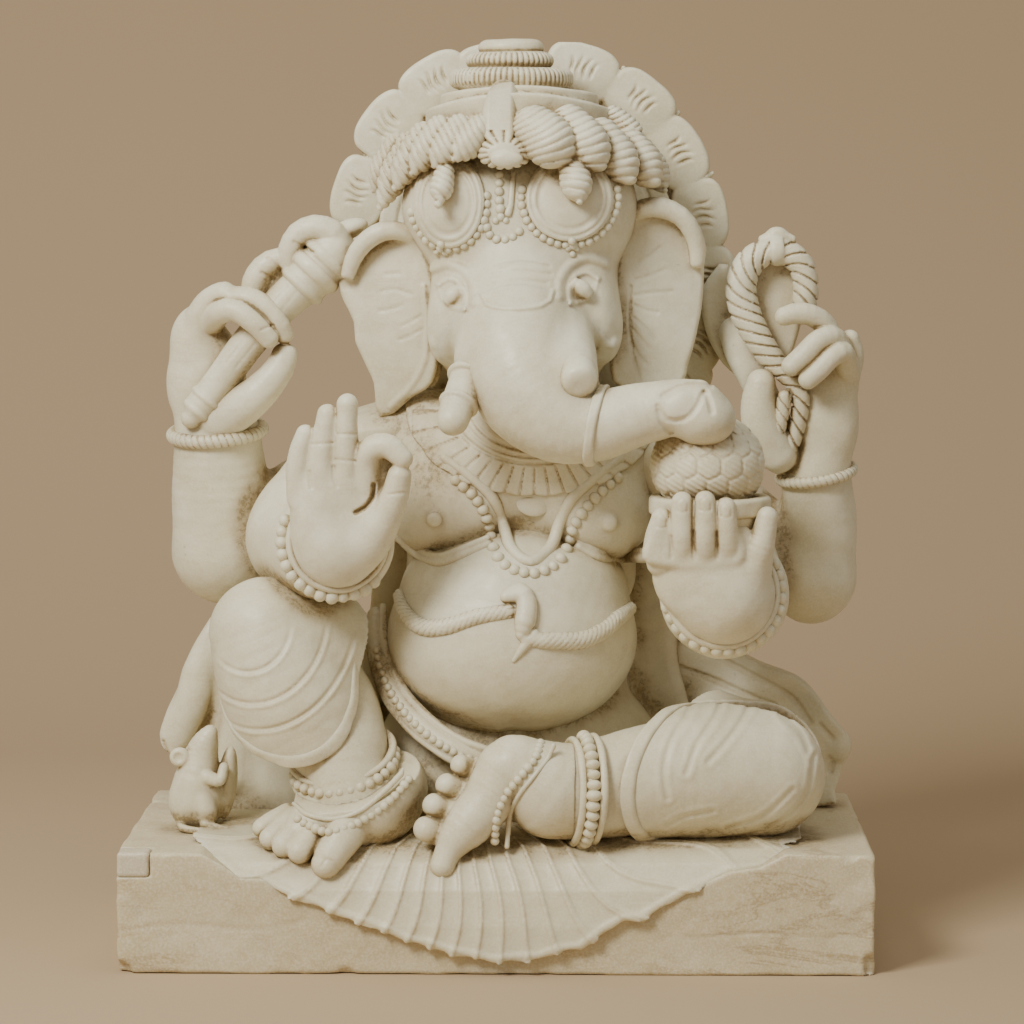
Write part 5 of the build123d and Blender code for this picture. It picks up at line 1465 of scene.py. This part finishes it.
def marble(name, clean, warm, dirt_and_shade, dirt_and_shade_gain, polish, veins=0.15):
    """White marble: crystals, clouds and flecks, with dirt and painted shade where the carving is deep or
    sheltered.
    """
    mat = bpy.data.materials.new(name)
    mat.use_nodes = True
    t = mat.node_tree
    link = t.links.new
    bsdf = t.nodes["Principled BSDF"]
    where = node(t, "ShaderNodeTexCoord").outputs["Object"]

    parts = node(t, "ShaderNodeSeparateXYZ")
    link(where, parts.inputs[0])

    def noise(scale, detail=4.0, rough=0.55, seed=0.0, distort=0.0, stretch=None):
        shift = node(t, "ShaderNodeVectorMath", operation="ADD")
        shift.inputs[1].default_value = (seed, seed * 0.7, -seed)
        link(where, shift.inputs[0])
        n = node(t, "ShaderNodeTexNoise")
        n.inputs["Scale"].default_value = scale
        n.inputs["Detail"].default_value = detail
        n.inputs["Roughness"].default_value = rough
        n.inputs["Distortion"].default_value = distort
        if stretch:
            wide_axis = node(t, "ShaderNodeVectorMath", operation="MULTIPLY")
            wide_axis.inputs[1].default_value = stretch
            link(shift.outputs[0], wide_axis.inputs[0])
            link(wide_axis.outputs[0], n.inputs["Vector"])
        else:
            link(shift.outputs[0], n.inputs["Vector"])
        return n.outputs["Fac"]

    def ramp(value, a, b, to_a=0.0, to_b=1.0):
        m = node(t, "ShaderNodeMapRange", interpolation_type="SMOOTHSTEP")
        for i, v in enumerate((a, b, to_a, to_b)):
            m.inputs[i + 1].default_value = v
        link(value, m.inputs[0])
        return m.outputs[0]

    def calc(op, a, b=None, clamp=False):
        m = node(t, "ShaderNodeMath", operation=op, use_clamp=clamp)
        for i, v in enumerate((a, b)):
            if v is None:
                continue
            if isinstance(v, (int, float)):
                m.inputs[i].default_value = v
            else:
                link(v, m.inputs[i])
        return m.outputs[0]

    def blend(fac, a, b):
        m = node(t, "ShaderNodeMix", data_type="RGBA")
        link(fac, m.inputs["Factor"])
        for socket, v in ((m.inputs[6], a), (m.inputs[7], b)):
            if isinstance(v, tuple):
                socket.default_value = (*v, 1)
            else:
                link(v, socket)
        return m.outputs[2]

    def attr(label):
        n = node(t, "ShaderNodeAttribute", attribute_name=label)
        return n.outputs["Fac"]

    close, wide, shelter, edge = attr("close"), attr("wide"), attr("shelter"), attr("edge")
    # stone: clouds, a warmer foot, grey patches, veins, bright crystals and dark flecks
    clouds = noise(9.0, 5.0, 0.6, 3.0, 0.6)
    tint = blend(ramp(clouds, 0.38, 0.66), clean, warm)
    low = calc("MULTIPLY", ramp(parts.outputs[2], 0.34, 0.04),
               ramp(noise(12.0, 4.0, 0.6, 27.0), 0.3, 0.65, 0.35, 0.9))
    tint = blend(low, tint, warm)
    tint = blend(ramp(noise(62.0, 5.0, 0.65, 31.0), 0.36, 0.68, 0.0, 0.42), tint, tuple(v * 0.86 for v in warm))
    grey = ramp(noise(5.0, 6.0, 0.62, 11.0, 1.4), 0.56, 0.74, 0.0, 0.30)
    tint = blend(grey, tint, (0.52, 0.51, 0.45))
    band = calc("ABSOLUTE", calc("SUBTRACT", noise(5.0, 7.0, 0.66, 41.0, 1.0, (1.0, 1.0, 4.5)), 0.5))
    vein = calc("MULTIPLY", ramp(band, 0.0, 0.035, 1.0, 0.0),
                ramp(noise(7.0, 3.0, 0.5, 45.0), 0.42, 0.62, 0.0, veins))
    tint = blend(vein, tint, tuple(v * 1.25 for v in dirt_and_shade))
    grain = noise(520.0, 2.0, 0.5, 5.0)
    tint = blend(ramp(grain, 0.35, 0.75, 0.0, 0.34), tint, (0.95, 0.92, 0.82))
    fleck = calc("MULTIPLY", ramp(noise(240.0, 2.0, 0.6, 21.0), 0.66, 0.74),
                 ramp(noise(14.0, 3.0, 0.5, 8.0), 0.55, 0.7))
    tint = blend(calc("MULTIPLY", fleck, 0.4), tint, (0.30, 0.29, 0.27))
    # dirt and painted shade: a wash of both in hollows and sheltered places, a darker crust of both in the
    # deepest, pale worn edges
    patchy = ramp(noise(46.0, 7.0, 0.72, 7.0, 0.3), 0.25, 0.75, 0.45, 1.2)
    speck = ramp(noise(300.0, 3.0, 0.7, 2.0), 0.42, 0.62, 0.55, 1.25)
    deep = calc("ADD", calc("MULTIPLY", ramp(close, 0.10, 0.95), 0.75),
                calc("MULTIPLY", ramp(wide, 0.12, 1.0), 0.42))
    deep = calc("ADD", deep, calc("MULTIPLY", ramp(shelter, 0.05, 0.60), 1.05))
    deep = calc("MULTIPLY", calc("MULTIPLY", deep, patchy), dirt_and_shade_gain)
    dirt_and_shade_wash = calc("MULTIPLY", deep, 0.62, True)
    tint = blend(dirt_and_shade_wash, tint, dirt_and_shade)
    dirt_and_shade_crust = calc("MULTIPLY", ramp(calc("MULTIPLY", deep, speck), 0.75, 1.55), 0.55, True)
    tint = blend(dirt_and_shade_crust, tint, tuple(v * 0.5 for v in dirt_and_shade))
    worn = calc("MULTIPLY", ramp(edge, 0.25, 0.9), 0.35, True)
    tint = blend(worn, tint, (0.93, 0.90, 0.79))
    link(tint, bsdf.inputs["Base Color"])
    rough = calc("ADD", ramp(noise(70.0, 4.0, 0.6, 13.0), 0.3, 0.7, polish - 0.07, polish + 0.12),
                 calc("MULTIPLY", dirt_and_shade_wash, 0.25), True)
    link(rough, bsdf.inputs["Roughness"])
    bsdf.inputs["IOR"].default_value = 1.48
    bsdf.inputs["Subsurface Weight"].default_value = 0.22
    bsdf.inputs["Subsurface Radius"].default_value = (0.007, 0.0052, 0.0036)
    bsdf.inputs["Subsurface Scale"].default_value = 1.0
    height = calc("ADD", calc("MULTIPLY", grain, 0.25), calc("MULTIPLY", noise(110.0, 4.0, 0.6, 17.0), 0.5))
    height = calc("ADD", height, calc("MULTIPLY", noise(34.0, 3.0, 0.5, 19.0), 0.9))
    height = calc("SUBTRACT", height, calc("MULTIPLY", dirt_and_shade_crust, 0.4))
    bump = node(t, "ShaderNodeBump")
    bump.inputs["Strength"].default_value = 0.5
    bump.inputs["Distance"].default_value = 0.0011
    link(height, bump.inputs["Height"])
    link(bump.outputs[0], bsdf.inputs["Normal"])
    return mat


# The third colour of each marble is the brown of dirt and of painted shade in hollows.
CLEAN, WARM, DIRT_AND_SHADE = (0.88, 0.845, 0.655), (0.79, 0.73, 0.51), (0.46, 0.35, 0.185)
figure = marble("carved_marble", CLEAN, WARM, DIRT_AND_SHADE, 1.35, 0.42)
plain = marble("base_marble", (0.78, 0.70, 0.49), (0.66, 0.565, 0.35), (0.38, 0.285, 0.15), 1.3, 0.5, 0.75)
repair = marble("repair_marble", (0.74, 0.68, 0.53), (0.66, 0.58, 0.42), (0.33, 0.25, 0.15), 0.9, 0.45)
SLOTS = {"plinth": ("base_marble", plain), "corner_patch": ("repair_marble", repair)}


# Where dirt has gathered and painted shade falls over a whole region: centre in mm, radius in mm, strength.
STAIN_AND_SHADE_PATCHES = [((-72, -30, 400), 48, 0.55), ((-40, -46, 385), 40, 0.35), ((-130, -60, 110), 62, 0.35),
          ((-215, -30, 102), 52, 0.5), ((-20, -60, 120), 60, 0.4), ((-60, 0, 220), 60, 0.45),
          ((120, 60, 190), 70, 0.35), ((100, -20, 470), 50, 0.2), ((-90, 40, 440), 60, 0.4),
          ((-80, -20, 650), 40, 0.3), ((250, -60, 102), 60, 0.25), ((150, 0, 300), 55, 0.3)]


def publish(item):
    p, quads = item["p"], item["quads"]
    world = (p + BASE) / 1000
    # shelter darkens the marble as dirt and painted shade; the patches add more of both where shade falls
    # between parts.
    shelter = np.maximum(look_up(near_fill, p + 7.5 * item["normal"]) * 0.9,
                         look_up(far_fill, p + 14 * item["normal"]) * 1.2)
    for c, r, strength in STAIN_AND_SHADE_PATCHES:
        shelter = shelter + 0.5 * strength * np.exp(-(((p - c) / r) ** 2).sum(1))
    mesh = bpy.data.meshes.new(item["name"])
    mesh.vertices.add(len(p))
    mesh.vertices.foreach_set("co", world.astype(np.float32).ravel())
    if item["form"] is None:
        tri = quads[:, 2] == quads[:, 3]
        tri2 = quads[:, 1] == quads[:, 2]
        faces = [q[:3] if a else (q[[0, 1, 3]] if b else q) for q, a, b in zip(quads, tri, tri2)]
        starts = np.cumsum([0] + [len(f) for f in faces[:-1]])
        corners = np.concatenate(faces)
    else:
        starts, corners = np.arange(len(quads)) * 4, quads.ravel()
    mesh.loops.add(len(corners))
    mesh.loops.foreach_set("vertex_index", corners.astype(np.int32))
    mesh.polygons.add(len(starts))
    mesh.polygons.foreach_set("loop_start", starts.astype(np.int32))
    mesh.update(calc_edges=True)
    mesh.validate()
    mesh.shade_smooth()
    for label, values in (("close", item["close"]), ("wide", item["wide"]), ("edge", item["edge"]),
                          ("shelter", shelter)):
        layer = mesh.attributes.new(label, "FLOAT", "POINT")
        layer.data.foreach_set("value", np.asarray(values, np.float32))
    slot, material = SLOTS.get(item["nodes"][0], ("carved_marble", figure))
    mesh.materials.append(material)
    obj = bpy.data.objects.new("v_" + item["name"], mesh)
    bpy.context.scene.collection.objects.link(obj)
    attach(obj, "root")
    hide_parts(*item["nodes"])


for item in PIECES:
    publish(item)

# ------------------------------------------------------------------ floor, light and camera

floor_mesh = bpy.data.meshes.new("studio_sweep")
BEND, REACH, WALL_TOP, HALF_WIDE, SINK = 0.9, 3.0, 4.0, 6.0, 0.0002  # metres: the wall bends up from y = BEND
bend = [math.radians(a) for a in range(8, 91, 8)]
rows = [(-REACH, 0.0), (BEND, 0.0)] + [(BEND + BEND * math.sin(a), BEND - BEND * math.cos(a)) for a in bend]
rows.append((2 * BEND, WALL_TOP))
verts = [(x, y, z - SINK) for y, z in rows for x in (-HALF_WIDE, HALF_WIDE)]
faces = [(2 * i, 2 * i + 1, 2 * i + 3, 2 * i + 2) for i in range(len(rows) - 1)]
floor_mesh.from_pydata(verts, [], faces)
floor_mesh.update()
floor_mesh.shade_smooth()
floor = bpy.data.objects.new("studio_sweep", floor_mesh)
bpy.context.scene.collection.objects.link(floor)
paper = bpy.data.materials.new("studio_paper")
paper.use_nodes = True
tree = paper.node_tree
soft = tree.nodes["Principled BSDF"]
soft.inputs["Roughness"].default_value = 0.9
fibre = tree.nodes.new("ShaderNodeTexNoise")
fibre.inputs["Scale"].default_value = 3.0
fibre.inputs["Detail"].default_value = 3.0
mixer = tree.nodes.new("ShaderNodeMix")
mixer.data_type = "RGBA"
mixer.inputs[6].default_value = (0.50, 0.375, 0.235, 1)
mixer.inputs[7].default_value = (0.52, 0.39, 0.245, 1)
tree.links.new(fibre.outputs["Fac"], mixer.inputs["Factor"])
tree.links.new(mixer.outputs[2], soft.inputs["Base Color"])
floor_mesh.materials.append(paper)


def area(name, place, aim, size, power, colour):
    light = bpy.data.lights.new(name, "AREA")
    light.shape = "RECTANGLE"
    light.size, light.size_y = size
    light.energy = power
    light.color = colour
    obj = bpy.data.objects.new(name, light)
    bpy.context.scene.collection.objects.link(obj)
    obj.location = place
    direction = Vector(aim) - Vector(place)
    obj.rotation_euler = direction.to_track_quat("-Z", "Y").to_euler()


area("key", (-1.3, -1.7, 2.1), (0, 0, 0.35), (0.9, 0.8), 74, (1.0, 0.975, 0.90))
area("top", (0.2, -0.5, 2.4), (0, 0, 0.3), (1.6, 1.2), 11, (1.0, 0.98, 0.92))
area("fill", (2.0, -1.8, 1.0), (0, 0, 0.35), (1.6, 1.8), 3, (1.0, 0.95, 0.86))
world = bpy.data.worlds.new("studio")
world.use_nodes = True
background = world.node_tree.nodes["Background"]
background.inputs["Color"].default_value = (0.95, 0.905, 0.81, 1)
background.inputs["Strength"].default_value = 0.29
bpy.context.scene.world = world

camera = bpy.data.cameras.new("camera")
camera.lens = 120.9
camera.sensor_width = 36
camera.clip_end = 50
SIDEWAYS, BACK_OFF, EYE_HEIGHT = 0.0549, 2.8105, 0.6351  # metres, from the middle of the CAD box's base
DOWN, PAN = 0.09939, 0.01557  # radians
eye = bpy.data.objects.new("camera", camera)
bpy.context.scene.collection.objects.link(eye)
middle = (CAD_BOX[0] + CAD_BOX[1]) / 2
eye.location = (middle[0] + SIDEWAYS, middle[1] - BACK_OFF, CAD_BOX[0][2] + EYE_HEIGHT)
eye.rotation_euler = (math.pi / 2 - DOWN, 0, PAN)
bpy.context.scene.camera = eye
